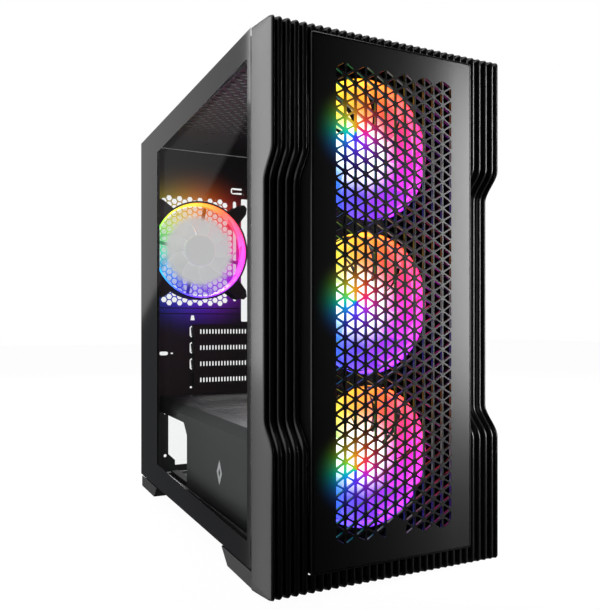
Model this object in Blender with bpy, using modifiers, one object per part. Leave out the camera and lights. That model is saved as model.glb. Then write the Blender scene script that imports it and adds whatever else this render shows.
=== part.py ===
"""Micro-ATX desktop computer tower.

A folded steel chassis with a ribbed plastic front, a lattice grille, a full glass left side,
a steel right side, a covered power-supply bay and four lit 120 mm fans.
X runs to the viewer's right of the front, Y to the back, Z up. The origin is on the floor,
under the centre of the whole tower.
"""
from math import cos, pi, radians, sin, sqrt, tau

import bmesh
import bpy
from mathutils import Matrix, Vector

MM = 0.001
GAP = 0.3 * MM

# Whole tower
WIDTH = 202 * MM
HEIGHT = 417 * MM
REAR_WALL = 398.5 * MM
SCREW_REACH = 9 * MM
DEPTH = REAR_WALL + SCREW_REACH
FRONT = -DEPTH / 2

# Sheet metal and plastic
SHEET = 1 * MM
WALL = 2.8 * MM
CHASSIS_HALF = 95.2 * MM
FOOT_BOTTOM = 0.5 * MM
BASE_LOW = 13.1 * MM
ROOF_TOP = 415.1 * MM
TRAY_X = 77 * MM

# Front bezel and its waist
BEZEL_DEPTH = 39.3 * MM
WAIST_DEPTH = 17.3 * MM
WAIST_LOW = (106.6 * MM, 129.4 * MM)
WAIST_HIGH = (299.5 * MM, 321.5 * MM)
PANEL_HALF = 71.4 * MM
PANEL_Z = (19.3 * MM, 404.5 * MM)
PANEL_DEPTH = 22 * MM
LATTICE_SIDE = 30 * MM
LATTICE_BAR = 4 * MM

# Fans
FAN = 120 * MM
FAN_DEPTH = 25 * MM
FAN_BORE = 58.3 * MM
FRONT_FAN_Z = {"bottom": 90.9 * MM, "middle": 213.9 * MM, "top": 336.9 * MM}
REAR_FAN_X = -33.4 * MM
REAR_FAN_Z = 287.4 * MM
BLADES = 9

# Power-supply bay
SHROUD_X = -85 * MM
SHROUD_TOP = 109.3 * MM
SHROUD_CHAMFER = (8 * MM, 7.2 * MM)
SHROUD_FRONT = 68 * MM
SHROUD_OPEN_FROM = 259.5 * MM
SHROUD_OPEN_TOP = 93.3 * MM
PSU_LOW = 19.2 * MM
PSU_LEFT = -73.3 * MM

# Rear wall
IO_APERTURE = ((28.1 * MM, 72.6 * MM), (200.4 * MM, 359.1 * MM))
SLOT_PITCH = 20.32 * MM
SLOT_TOP_Z = 187.8 * MM
SLOT_COUNT = 4
SCREW_X = 90.5 * MM
SCREW_Z = {"bottom": 70 * MM, "top": 372 * MM}

# Side panels
PANEL_FRONT = BEZEL_DEPTH + 0.9 * MM
SIDE_LOW = 15.5 * MM
SIDE_HIGH = 416.6 * MM
GLASS = 4 * MM
FLANGE_GAP = 0.3 * MM


def y_at(distance):
    """Y of the plane this far behind the front face."""
    return FRONT + distance


for leftover in list(bpy.data.objects):
    bpy.data.objects.remove(leftover, do_unlink=True)

PARTS = bpy.data.collections.new("computer_tower")
TOOLS = bpy.data.collections.new("cutters")
for group in (PARTS, TOOLS):
    bpy.context.scene.collection.children.link(group)


# ------------------------------------------------------------------ materials

def finish(name, colour, roughness, metallic=0.0, alpha=1.0):
    """A Principled material with the colour and shine of one finish."""
    material = bpy.data.materials.new(name)
    material.use_nodes = True
    shader = material.node_tree.nodes["Principled BSDF"]
    shader.inputs["Base Color"].default_value = (*colour, 1.0)
    shader.inputs["Roughness"].default_value = roughness
    shader.inputs["Metallic"].default_value = metallic
    shader.inputs["Alpha"].default_value = alpha
    material.diffuse_color = (*colour, alpha)
    return material


def painted_steel(name):
    return finish(f"{name}_paint", (0.020, 0.020, 0.022), 0.48, 0.3)


def black_plastic(name):
    return finish(f"{name}_plastic", (0.028, 0.029, 0.031), 0.42)


# ------------------------------------------------------------- mesh primitives

def box_mesh(x, y, z):
    """A closed box between the given (low, high) pairs."""
    mesh = bpy.data.meshes.new("box")
    shape = bmesh.new()
    centre = Vector([(pair[0] + pair[1]) / 2 for pair in (x, y, z)])
    size = Vector([pair[1] - pair[0] for pair in (x, y, z)])
    bmesh.ops.create_cube(shape, size=1.0, matrix=Matrix.LocRotScale(centre, None, size))
    shape.to_mesh(mesh)
    shape.free()
    return mesh


def rod_mesh(centre, radius, length, segments=24):
    """A cylinder along Y, centred on the given point."""
    mesh = bpy.data.meshes.new("rod")
    shape = bmesh.new()
    place = Matrix.Translation(centre) @ Matrix.Rotation(pi / 2, 4, "X")
    bmesh.ops.create_cone(
        shape, cap_ends=True, segments=segments, radius1=radius, radius2=radius,
        depth=length, matrix=place)
    shape.to_mesh(mesh)
    shape.free()
    return mesh


def outline_mesh(points, thickness, place):
    """A flat outline of the given thickness, centred on its plane, then put in place."""
    curve = bpy.data.curves.new("outline", "CURVE")
    curve.dimensions = "2D"
    curve.fill_mode = "BOTH"
    curve.extrude = thickness / 2
    spline = curve.splines.new("POLY")
    spline.points.add(len(points) - 1)
    for point, (u, v) in zip(spline.points, points):
        point.co = (u, v, 0.0, 1.0)
    spline.use_cyclic_u = True
    carrier = bpy.data.objects.new("outline", curve)
    bpy.context.scene.collection.objects.link(carrier)
    bpy.context.view_layer.update()
    evaluated = carrier.evaluated_get(bpy.context.evaluated_depsgraph_get())
    mesh = bpy.data.meshes.new_from_object(evaluated)
    bpy.data.objects.remove(carrier, do_unlink=True)
    shape = bmesh.new()
    shape.from_mesh(mesh)
    bmesh.ops.remove_doubles(shape, verts=shape.verts, dist=1e-6)
    bmesh.ops.transform(shape, matrix=place, verts=shape.verts)
    bmesh.ops.recalc_face_normals(shape, faces=shape.faces)
    shape.to_mesh(mesh)
    shape.free()
    return mesh


def side_view(x):
    """Puts an outline drawn in Y and Z at this X, its thickness along X."""
    return Matrix(((0, 0, 1, x), (1, 0, 0, 0), (0, 1, 0, 0), (0, 0, 0, 1)))


def front_view(y):
    """Puts an outline drawn in X and Z at this Y, its thickness along Y."""
    return Matrix(((1, 0, 0, 0), (0, 0, -1, y), (0, 1, 0, 0), (0, 0, 0, 1)))


def merged(meshes):
    """Several closed shapes as one mesh, for a tool that cuts or adds in many places."""
    shape = bmesh.new()
    for mesh in meshes:
        shape.from_mesh(mesh)
    total = bpy.data.meshes.new("group")
    shape.to_mesh(total)
    shape.free()
    return total


# ---------------------------------------------------------- objects and tools

def part(name, mesh, material):
    """One named sub-part in its own material."""
    item = bpy.data.objects.new(name, mesh)
    PARTS.objects.link(item)
    item.data.materials.append(material)
    return item


def tool(name, mesh):
    """A shape that only cuts or adds to a sub-part."""
    item = bpy.data.objects.new(name, mesh)
    item.hide_render = True
    item.display_type = "WIRE"
    TOOLS.objects.link(item)
    return item


def combine(item, operation, label, meshes):
    modifier = item.modifiers.new(label, "BOOLEAN")
    modifier.operation = operation
    modifier.solver = "EXACT"
    modifier.object = tool(f"{item.name}_{label}", merged(meshes))
    return modifier


def cut(item, label, *meshes):
    """Cuts closed shapes, which don't touch each other, out of a sub-part."""
    return combine(item, "DIFFERENCE", label, meshes)


def add(item, label, *meshes):
    """Joins closed shapes, which don't touch each other, to a sub-part."""
    return combine(item, "UNION", label, meshes)


def soften(item, width, segments=2):
    """Rounds the sharp edges of a sub-part."""
    bevel = item.modifiers.new("soften", "BEVEL")
    bevel.width = width
    bevel.segments = segments
    bevel.limit_method = "ANGLE"
    bevel.angle_limit = radians(50)


def smooth_round(item):
    item.data.shade_smooth()
    item.data.set_sharp_from_angle(angle=radians(35))


def turned(name, profile, segments, material, centre, closed=False):
    """A turned piece about an axis along Y: (radius, distance behind the centre) from back to front."""
    mesh = bpy.data.meshes.new(name)
    edges = [(i, i + 1) for i in range(len(profile) - 1)]
    if closed:
        edges.append((len(profile) - 1, 0))
    mesh.from_pydata([(radius, 0.0, along) for radius, along in profile], edges, [])
    item = part(name, mesh, material)
    item.location = centre
    item.rotation_euler = (-pi / 2, 0, 0)
    spin = item.modifiers.new("turn", "SCREW")
    spin.steps = segments
    spin.render_steps = segments
    spin.use_merge_vertices = True
    spin.merge_threshold = 0.00001
    spin.use_smooth_shade = True
    return item


def block(name, x, y, z, material, rounding=0.0):
    item = part(name, box_mesh(x, y, z), material)
    if rounding:
        soften(item, rounding)
    return item


def mirrored(pair):
    """The same (low, high) pair on the other side of the middle."""
    return (-pair[1], -pair[0])


# -------------------------------------------------------------------- chassis

def base_pan():
    """The floor of the case, folded up at both sides, with rails for the power-supply filter."""
    half = CHASSIS_HALF
    y = (y_at(40 * MM), y_at(REAR_WALL))
    pan = block("base_pan", (-half, half), y, (BASE_LOW, BASE_LOW + 12 * MM), painted_steel("base_pan"))
    inside = (-half + SHEET, half - SHEET)
    cut(pan, "fold", box_mesh(inside, (y[0] - MM, y[1] + MM), (BASE_LOW + SHEET, BASE_LOW + 20 * MM)))
    rail = (59.4 * MM, 61 * MM)
    rail_y = (y_at(238 * MM), y_at(392 * MM))
    rail_z = (BASE_LOW - 3 * MM, BASE_LOW + 0.5 * MM)
    add(pan, "filter_rails", box_mesh(rail, rail_y, rail_z), box_mesh(mirrored(rail), rail_y, rail_z))


def psu_aperture(thickness, y):
    """The hole that the power supply's sockets and switch show through."""
    left, right = PSU_LEFT + 5.6 * MM, PSU_LEFT + 144 * MM
    low, high = PSU_LOW + 3.6 * MM, PSU_LOW + 78 * MM
    corner = 12 * MM
    tab = 8.4 * MM
    points = [
        (left + tab, low), (right, low), (right, high - corner), (right - corner, high),
        (left + corner, high), (left, high - corner), (left, low + 17.6 * MM),
        (left + tab, low + 9.5 * MM)]
    return outline_mesh(points, thickness, front_view(y))


def slot_openings():
    """Where each expansion card's sockets show."""
    y = (y_at(REAR_WALL - 3 * MM), y_at(REAR_WALL + MM))
    openings = []
    for index in range(SLOT_COUNT):
        middle = SLOT_TOP_Z - index * SLOT_PITCH
        openings.append(box_mesh((-32 * MM, 74 * MM), y, (middle - 6.5 * MM, middle + 6.5 * MM)))
    return openings


def rear_wall():
    y = (y_at(REAR_WALL - SHEET), y_at(REAR_WALL))
    z = (BASE_LOW + SHEET + GAP, ROOF_TOP - SHEET - GAP)
    inner = CHASSIS_HALF - SHEET - GAP
    wall = block("rear_wall", (-inner, inner), y, z, painted_steel("rear_wall"))
    through = (y[0] - MM, y[1] + MM)
    cut(wall, "board_sockets", box_mesh(IO_APERTURE[0], through, IO_APERTURE[1]))
    cut(wall, "power_supply", psu_aperture(4 * MM, y_at(REAR_WALL)))
    cut(wall, "card_slots", *slot_openings())
    holes = [
        rod_mesh(Vector((side * SCREW_X, y[0], height)), 2.2 * MM, 6 * MM, 12)
        for side in (-1, 1) for height in SCREW_Z.values()]
    cut(wall, "screw_holes", *holes)


def slot_covers():
    """The blanking plate behind each unused expansion slot."""
    y = (y_at(REAR_WALL - SHEET - GAP - 0.8 * MM), y_at(REAR_WALL - SHEET - GAP))
    for index in range(SLOT_COUNT):
        middle = SLOT_TOP_Z - index * SLOT_PITCH
        cover = block(
            f"slot_cover_{index + 1}", (-38 * MM, 76.4 * MM), y,
            (middle - 9 * MM, middle + 9 * MM), painted_steel(f"slot_cover_{index + 1}"))
        toe = box_mesh((-38 * MM, -37 * MM), (y[0] - 9 * MM, y[0] + 0.4 * MM),
                       (middle - 9 * MM, middle + 9 * MM))
        add(cover, "screw_tab", toe)


IO_STRIP_X = (-63 * MM, 63 * MM)
IO_STRIP_Y = (45 * MM, 61 * MM)


def roof():
    half = CHASSIS_HALF
    plate = block(
        "roof", (-half, half), (y_at(40 * MM), y_at(REAR_WALL)),
        (ROOF_TOP - SHEET, ROOF_TOP), painted_steel("roof"))
    hole_x = (IO_STRIP_X[0] - GAP, IO_STRIP_X[1] + GAP)
    hole_y = (y_at(IO_STRIP_Y[0] - GAP), y_at(IO_STRIP_Y[1] + GAP))
    cut(plate, "socket_strip", box_mesh(hole_x, hole_y, (ROOF_TOP - 3 * MM, ROOF_TOP + MM)))


# A micro-ATX board: its outer edges, and the distances of its mounting holes from them
BOARD_REAR = 396 * MM
BOARD_TOP = 363 * MM
BOARD_HOLES = (10.2 * MM, 165.1 * MM, 237.5 * MM)
STANDOFF_HEIGHT = 6.6 * MM
STANDOFF_RADIUS = 3 * MM
COOLER_WINDOW = ((228 * MM, 352 * MM), (262 * MM, 342 * MM))
TRAY_SLOTS = {"lower": (128 * MM, 188 * MM), "middle": (212 * MM, 272 * MM), "upper": (296 * MM, 356 * MM)}


def standoff(distance, height):
    """A round post on the tray that the motherboard lies on and is screwed to."""
    root = 0.5 * MM
    mesh = rod_mesh(Vector((0, 0, 0)), STANDOFF_RADIUS, STANDOFF_HEIGHT + root, 16)
    middle = Vector((TRAY_X + root - (STANDOFF_HEIGHT + root) / 2, y_at(distance), height))
    mesh.transform(Matrix.Translation(middle) @ Matrix.Rotation(pi / 2, 4, "Z"))
    return mesh


def motherboard_tray():
    """The wall that carries the motherboard, open behind the processor and along its front edge."""
    front, back = 41 * MM + GAP, REAR_WALL - SHEET - GAP
    z = (BASE_LOW + SHEET + GAP, ROOF_TOP - SHEET - GAP)
    tray = block(
        "motherboard_tray", (TRAY_X, TRAY_X + SHEET), (y_at(front), y_at(back)), z,
        painted_steel("motherboard_tray"))
    through = (TRAY_X - MM, TRAY_X + SHEET + MM)
    window_y, window_z = COOLER_WINDOW
    cut(tray, "cooler_window",
        box_mesh(through, (y_at(window_y[0]), y_at(window_y[1])), window_z))
    cut(tray, "cable_slots",
        *[box_mesh(through, (y_at(104 * MM), y_at(126 * MM)), height) for height in TRAY_SLOTS.values()])
    cut(tray, "bay_openings",
        box_mesh(through, (y_at(104 * MM), y_at(218 * MM)), (22 * MM, 82 * MM)),
        box_mesh(through, (y_at(240 * MM), y_at(384 * MM)), (22 * MM, 98 * MM)))
    add(tray, "standoffs", *[
        standoff(BOARD_REAR - from_rear, BOARD_TOP - from_top)
        for from_rear in BOARD_HOLES for from_top in BOARD_HOLES])


BEZEL_CLIPS_Z = (45 * MM, 160 * MM, 265 * MM, 380 * MM)
CLIP_X = (86.5 * MM, 91.5 * MM)
FRAME_HALF = CLIP_X[0] - 1.1 * MM


def front_frame():
    """The steel wall behind the bezel, with a round opening for each fan; the clips hold its edges."""
    y = (y_at(40 * MM), y_at(41 * MM))
    z = (BASE_LOW + SHEET + GAP, ROOF_TOP - SHEET - GAP)
    frame = block("front_frame", (-FRAME_HALF, FRAME_HALF), y, z, painted_steel("front_frame"))
    cut(frame, "fan_openings",
        *[rod_mesh(Vector((0, y[0], height)), 57 * MM, 6 * MM, 40) for height in FRONT_FAN_Z.values()])


def psu_shroud():
    """The cover over the power supply and drives: a side, a sloped corner and a top."""
    side = SHROUD_X + SHEET / 2
    top = SHROUD_TOP - SHEET / 2
    across, down = SHROUD_CHAMFER
    corners = [
        (side, BASE_LOW + SHEET + GAP), (side, top - down), (side + across, top),
        (TRAY_X - GAP, top)]
    mesh = bpy.data.meshes.new("psu_shroud")
    shape = bmesh.new()
    rows = []
    for distance in (SHROUD_FRONT, REAR_WALL - SHEET - GAP):
        rows.append([shape.verts.new((x, y_at(distance), z)) for x, z in corners])
    for index in range(len(corners) - 1):
        shape.faces.new((rows[0][index], rows[0][index + 1], rows[1][index + 1], rows[1][index]))
    shape.to_mesh(mesh)
    shape.free()
    shroud = part("psu_shroud", mesh, painted_steel("psu_shroud"))
    thick = shroud.modifiers.new("thickness", "SOLIDIFY")
    thick.thickness = SHEET
    thick.offset = 0
    low, high = BASE_LOW, SHROUD_OPEN_TOP
    corner = 12 * MM
    opening = [
        (y_at(SHROUD_OPEN_FROM), low - 5 * MM), (y_at(REAR_WALL), low - 5 * MM),
        (y_at(REAR_WALL), high), (y_at(SHROUD_OPEN_FROM + corner), high),
        (y_at(SHROUD_OPEN_FROM), high - corner)]
    cut(shroud, "side_opening", outline_mesh(opening, 6 * MM, side_view(SHROUD_X)))


DRIVE_Y = (109.7 * MM, 212.3 * MM)
DRIVE_X = (-76 * MM, 74 * MM)
DRIVE_TOP = 76 * MM


def drive_cage():
    """An upside-down channel that two 3.5-inch drives screw into, one above the other."""
    y = (y_at(DRIVE_Y[0] - SHEET), y_at(DRIVE_Y[1] + SHEET))
    floor = BASE_LOW + SHEET + GAP
    cage = block("drive_cage", DRIVE_X, y, (floor, DRIVE_TOP), painted_steel("drive_cage"))
    cut(cage, "bays", box_mesh((DRIVE_X[0] - MM, DRIVE_X[1] + MM), (y[0] + SHEET, y[1] - SHEET),
                               (floor - MM, DRIVE_TOP - SHEET)))


def drive_bracket():
    """A plate on the back of the tray that holds one 2.5-inch drive."""
    x = (TRAY_X + SHEET + GAP, TRAY_X + SHEET + GAP + 9 * MM)
    y, z = (y_at(150 * MM), y_at(222 * MM)), (140 * MM, 242 * MM)
    bracket = block("drive_bracket", x, y, z, painted_steel("drive_bracket"))
    cut(bracket, "seat", box_mesh((x[0] + SHEET, x[1] + MM), (y[0] + SHEET, y[1] - SHEET),
                                  (z[0] - MM, z[1] + MM)))


def fan_hub():
    x = (TRAY_X + SHEET + GAP, TRAY_X + SHEET + GAP + 12 * MM)
    block("fan_hub", x, (y_at(300 * MM), y_at(362 * MM)), (190 * MM, 232 * MM),
          black_plastic("fan_hub"), 1 * MM)


def psu_pads():
    rubber = finish("psu_pad_rubber", (0.03, 0.03, 0.03), 0.85)
    floor = BASE_LOW + SHEET + GAP
    strip = (58 * MM, 68 * MM)
    y = (y_at(262 * MM), y_at(385 * MM))
    z = (floor, PSU_LOW - GAP)
    block("psu_pad_right", strip, y, z, rubber, 0.8 * MM)
    block("psu_pad_left", mirrored(strip), y, z, rubber, 0.8 * MM)


# ----------------------------------------------------------------------- feet

FOOT_X = (66 * MM, 99.5 * MM)
FOOT_TOP = BASE_LOW - GAP
FEET = {"front": ((40 * MM, 97 * MM), (40 * MM, 112 * MM)), "rear": ((341.6 * MM, 401 * MM), (331 * MM, 401 * MM))}
PAD_INSET = 8 * MM
PAD_HEIGHT = 2 * MM


def feet():
    """Four plastic feet, each with a rubber pad let into its underside."""
    for end, (bottom, top) in FEET.items():
        outline = [
            (y_at(bottom[0]), FOOT_BOTTOM), (y_at(bottom[1]), FOOT_BOTTOM),
            (y_at(top[1]), FOOT_TOP), (y_at(top[0]), FOOT_TOP)]
        for side, x in (("left", mirrored(FOOT_X)), ("right", FOOT_X)):
            middle = (x[0] + x[1]) / 2
            foot = part(
                f"foot_{end}_{side}", outline_mesh(outline, x[1] - x[0], side_view(middle)),
                black_plastic(f"foot_{end}_{side}"))
            soften(foot, 1 * MM)
            pad_x = (x[0] + PAD_INSET, x[1] - PAD_INSET)
            pad_y = (y_at(bottom[0] + PAD_INSET), y_at(bottom[1] - PAD_INSET))
            cut(foot, "pad_pocket", box_mesh(pad_x, pad_y, (0, PAD_HEIGHT)))
            block(f"foot_pad_{end}_{side}",
                  (pad_x[0] + GAP, pad_x[1] - GAP), (pad_y[0] + GAP, pad_y[1] - GAP),
                  (0, PAD_HEIGHT - GAP), finish(f"foot_pad_{end}_{side}_rubber", (0.03, 0.03, 0.03), 0.9))


# ----------------------------------------------------------------------- fans

def rounded_square(x, z, half, radius, steps=4):
    """Points round a square with round corners."""
    points = []
    for quarter in range(4):
        for step in range(steps + 1):
            angle = (quarter + step / steps) * pi / 2
            reach = half - radius
            corner = (quarter + 0.5) * pi / 2
            points.append((x + reach * sqrt(2) * cos(corner) + radius * cos(angle),
                           z + reach * sqrt(2) * sin(corner) + radius * sin(angle)))
    return points


def fan(name, x, front, z):
    """One 120 mm fan: frame with its motor seat, light ring, and rotor on the motor's axis."""
    centre = Vector((x, y_at(front), z))
    half = FAN / 2
    body = part(f"{name}_frame",
                outline_mesh(rounded_square(x, z, half, 7 * MM), FAN_DEPTH,
                             front_view(centre.y + FAN_DEPTH / 2)),
                black_plastic(f"{name}_frame"))
    smooth_round(body)
    cut(body, "bore", rod_mesh(centre + Vector((0, FAN_DEPTH / 2, 0)), FAN_BORE, FAN_DEPTH + 4 * MM, 48))
    strut_y = (centre.y + FAN_DEPTH - 3 * MM, centre.y + FAN_DEPTH - 0.5 * MM)
    reach = 59.4 * MM
    add(body, "strut_across", box_mesh((x - reach, x + reach), strut_y, (z - 2 * MM, z + 2 * MM)))
    add(body, "strut_upright", box_mesh((x - 2 * MM, x + 2 * MM), strut_y, (z - reach, z + reach)))
    seat_middle = (strut_y[0] + strut_y[1]) / 2 - 0.25 * MM
    add(body, "motor_seat", rod_mesh(Vector((x, seat_middle, z)), 20.5 * MM, 3 * MM, 32))

    inner, outer = 56.4 * MM, FAN_BORE - GAP - 0.2 * MM
    lens = finish(f"{name}_lens", (0.85, 0.85, 0.88), 0.35, 0.0, 0.6)
    turned(f"{name}_light_ring",
           [(outer, 20.5 * MM), (outer, 1 * MM), (inner, 1 * MM), (inner, 20.5 * MM)],
           48, lens, centre, closed=True)

    hub = 20 * MM
    profile = [
        (0, 20.8 * MM), (hub, 20.8 * MM), (hub, 4 * MM), (hub - 2 * MM, 2 * MM), (0, 2 * MM)]
    rotor = turned(f"{name}_rotor", profile, 32,
                   finish(f"{name}_blades", (0.8, 0.8, 0.84), 0.3, 0.0, 0.7), centre)
    blades = []
    for index in range(BLADES):
        blade = box_mesh((hub - 1.5 * MM, 52.8 * MM), (-13 * MM, 13 * MM), (-MM, MM))
        pitch = Matrix.Rotation(radians(42), 4, "X")
        turn = Matrix.Rotation(tau * index / BLADES, 4, "Z")
        blade.transform(turn @ Matrix.Translation((0, 0, 11.5 * MM)) @ pitch)
        blades.append(blade)
    modifier = add(rotor, "blades", *blades)
    modifier.object.location = rotor.location
    modifier.object.rotation_euler = rotor.rotation_euler


# ---------------------------------------------------------------- front bezel

def ease(start, end, steps):
    """Fractions of an S-shaped ramp between two heights."""
    return [(start + (end - start) * i / steps, (1 - cos(pi * i / steps)) / 2) for i in range(steps + 1)]


def bezel_outline(inset, back):
    """The bezel seen from the side: sloped ends, round corners and the set-back waist."""
    low = FOOT_BOTTOM + inset
    high = 416.2 * MM - inset
    rise = 5 * MM
    round_corner = 3.5 * MM
    front = inset
    points = [(back, low), (round_corner + 5 * MM, low + rise * 0.72)]
    for i in range(4):
        angle = -pi / 2 - (pi / 2) * i / 3
        points.append((front + round_corner * (1 + cos(angle)),
                       low + rise + round_corner * (1 + sin(angle))))
    points += [(front + WAIST_DEPTH * share, height) for height, share in ease(*WAIST_LOW, 6)]
    points += [(front + WAIST_DEPTH * (1 - share), height) for height, share in ease(*WAIST_HIGH, 6)]
    for i in range(4):
        angle = pi - (pi / 2) * i / 3
        points.append((front + round_corner * (1 + cos(angle)),
                       high - rise - round_corner * (1 - sin(angle))))
    points += [(round_corner + 5 * MM, high - rise * 0.72), (back, high)]
    return [(y_at(distance), height) for distance, height in points]


def bezel_shell():
    """The moulded surround of the front, hollow behind, with clips that snap into the steel frame."""
    half = WIDTH / 2
    shell = part(
        "bezel_shell", outline_mesh(bezel_outline(0, BEZEL_DEPTH), WIDTH, side_view(0)),
        black_plastic("bezel_shell"))
    cut(shell, "hollow", outline_mesh(
        bezel_outline(WALL, BEZEL_DEPTH + 2 * MM), WIDTH - 2 * WALL, side_view(0)))
    cut(shell, "panel_opening", box_mesh(
        (-PANEL_HALF - GAP, PANEL_HALF + GAP), (y_at(-2 * MM), y_at(PANEL_DEPTH + 4 * MM)),
        (PANEL_Z[0] - GAP, PANEL_Z[1] + GAP)))
    ribs, pegs = [], []
    for height in BEZEL_CLIPS_Z:
        for sign in (1, -1):
            rib = (CLIP_X[0], half - WALL / 2)
            peg = CLIP_X
            if sign < 0:
                rib, peg = mirrored(rib), mirrored(peg)
            ribs.append(box_mesh(rib, (y_at(33 * MM), y_at(BEZEL_DEPTH)),
                                 (height - 3 * MM, height + 3 * MM)))
            pegs.append(box_mesh(peg, (y_at(BEZEL_DEPTH - 2 * MM), y_at(46 * MM)),
                                 (height - 2.9 * MM, height + 2.9 * MM)))
    add(shell, "clip_ribs", *ribs)
    add(shell, "clips", *pegs)


def lattice_holes(y):
    """Triangular openings between the bars of the grille, in upright columns."""
    column = LATTICE_SIDE * sqrt(3) / 2
    shrink = LATTICE_BAR / 2
    rows = 11
    low = 50 * MM
    holes = []
    for index in range(-2, 2):
        left = index * column
        for row in range(2 * rows + 1):
            middle = low + row * LATTICE_SIDE / 2
            points_right = (index + row) % 2 == 0
            flat_x = left + shrink if points_right else left + column - shrink
            tip_x = left + column - 2 * shrink if points_right else left + 2 * shrink
            reach = abs(tip_x - flat_x) / sqrt(3)
            outline = [(flat_x, middle - reach), (flat_x, middle + reach), (tip_x, middle)]
            holes.append(outline_mesh(outline, 8 * MM, front_view(y)))
    return holes


PANEL_SKIN = 2.4 * MM


def panel_surround():
    """The raised box that carries the front panel, and shows at its sides in the waist."""
    z = PANEL_Z
    y = (y_at(PANEL_SKIN + GAP), y_at(PANEL_DEPTH))
    surround = block("panel_surround", (-PANEL_HALF, PANEL_HALF), y, z, black_plastic("panel_surround"))
    cut(surround, "inside", box_mesh(
        (-PANEL_HALF + PANEL_SKIN, PANEL_HALF - PANEL_SKIN), (y[0] - MM, y[1] + MM),
        (z[0] + PANEL_SKIN, z[1] - PANEL_SKIN)))


def front_grille():
    """The flat front panel with its triangular lattice."""
    panel = block("front_grille", (-PANEL_HALF, PANEL_HALF), (y_at(0), y_at(PANEL_SKIN)), PANEL_Z,
                  black_plastic("front_grille"), 0.8 * MM)
    cut(panel, "lattice", *lattice_holes(y_at(0)))


# ---------------------------------------------------------------- side panels

def rear_flange():
    """The strip of the glass side's frame that folds over the rear wall."""
    x = mirrored((SCREW_X - 6.5 * MM, WIDTH / 2 - 4.3 * MM))
    y = (y_at(REAR_WALL + FLANGE_GAP), y_at(REAR_WALL + FLANGE_GAP + SHEET))
    return box_mesh(x, y, (22 * MM, 410 * MM))


def screw_holes(side):
    return [
        rod_mesh(Vector((side * SCREW_X, y_at(REAR_WALL), height)), 2.2 * MM, 8 * MM, 12)
        for height in SCREW_Z.values()]


def glass_side():
    """The glass sheet and the steel frame bonded behind its printed border."""
    glass = finish("side_glass_tint", (0.10, 0.11, 0.11), 0.03, 0.0, 0.3)
    half = WIDTH / 2
    back = REAR_WALL + FLANGE_GAP + SHEET
    block("side_glass", (-half, -half + GLASS), (y_at(PANEL_FRONT), y_at(REAR_WALL)),
          (SIDE_LOW, SIDE_HIGH), glass, 0.5 * MM)
    x = (-half + GLASS + GAP, -half + GLASS + GAP + SHEET)
    frame = block("glass_frame", x, (y_at(PANEL_FRONT + 2 * MM), y_at(back)),
                  (SIDE_LOW + 2 * MM, SIDE_HIGH - 2 * MM), painted_steel("glass_frame"))
    cut(frame, "window", box_mesh(
        (x[0] - MM, x[1] + MM), (y_at(52 * MM), y_at(330 * MM)), (36 * MM, 396 * MM)))
    add(frame, "rear_flange", rear_flange())
    cut(frame, "screw_holes", *screw_holes(-1))


HEM = 1.5 * MM


def right_side():
    """The plain steel side with its rear flange, and the hem frame welded inside its edges."""
    half = WIDTH / 2
    y = (y_at(PANEL_FRONT), y_at(REAR_WALL + FLANGE_GAP + SHEET))
    z = (SIDE_LOW, SIDE_HIGH)
    panel = block("right_panel", (half - SHEET, half), y, z, painted_steel("right_panel"))
    fold = (SCREW_X - 6.5 * MM, half - SHEET / 2)
    add(panel, "rear_flange", box_mesh(fold, (y[1] - SHEET, y[1]), (22 * MM, 410 * MM)))
    cut(panel, "screw_holes", *screw_holes(1))
    x = (CHASSIS_HALF + 0.5 * MM, half - SHEET - GAP)
    hem_y = (y[0], y[1] - SHEET - GAP)
    hem = block("right_panel_hem", x, hem_y, z, painted_steel("right_panel_hem"))
    cut(hem, "inside", box_mesh((x[0] - MM, x[1] + MM), (hem_y[0] + HEM, hem_y[1] - HEM),
                                (z[0] + HEM, z[1] - HEM)))


def thumbscrew(name, side, height):
    """A captive screw with a large turned head; its origin is where the head meets the panel."""
    centre = Vector((side * SCREW_X, y_at(REAR_WALL + FLANGE_GAP + SHEET + GAP), height))
    head, neck, shank = 5.5 * MM, 3.6 * MM, 1.75 * MM
    length = y_at(DEPTH) - centre.y
    profile = [
        (0, length), (head - 0.8 * MM, length), (head, length - 0.8 * MM), (head, 1.6 * MM),
        (neck, 1.2 * MM), (neck, 0), (shank, 0), (shank, -6.2 * MM), (0, -6.8 * MM)]
    turned(name, profile, 20, finish(f"{name}_zinc", (0.09, 0.09, 0.095), 0.35, 0.9), centre)


# -------------------------------------------------- filters, buttons, sockets

def filters():
    cloth = finish("top_filter_mesh", (0.03, 0.03, 0.03), 0.7)
    block("top_filter", (-80 * MM, 80 * MM), (y_at(66 * MM), y_at(318 * MM)),
          (ROOF_TOP + GAP, HEIGHT), cloth)
    grid = finish("psu_filter_mesh", (0.03, 0.03, 0.03), 0.7)
    sheet = block("psu_filter", (-58.8 * MM, 58.8 * MM), (y_at(240 * MM), y_at(392 * MM)),
                  (BASE_LOW - GAP - 1.8 * MM, BASE_LOW - GAP), grid)
    add(sheet, "pull", box_mesh((-12 * MM, 12 * MM), (y_at(391 * MM), y_at(398 * MM)),
                                (BASE_LOW - GAP - 5 * MM, BASE_LOW - GAP - 0.2 * MM)))


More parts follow.
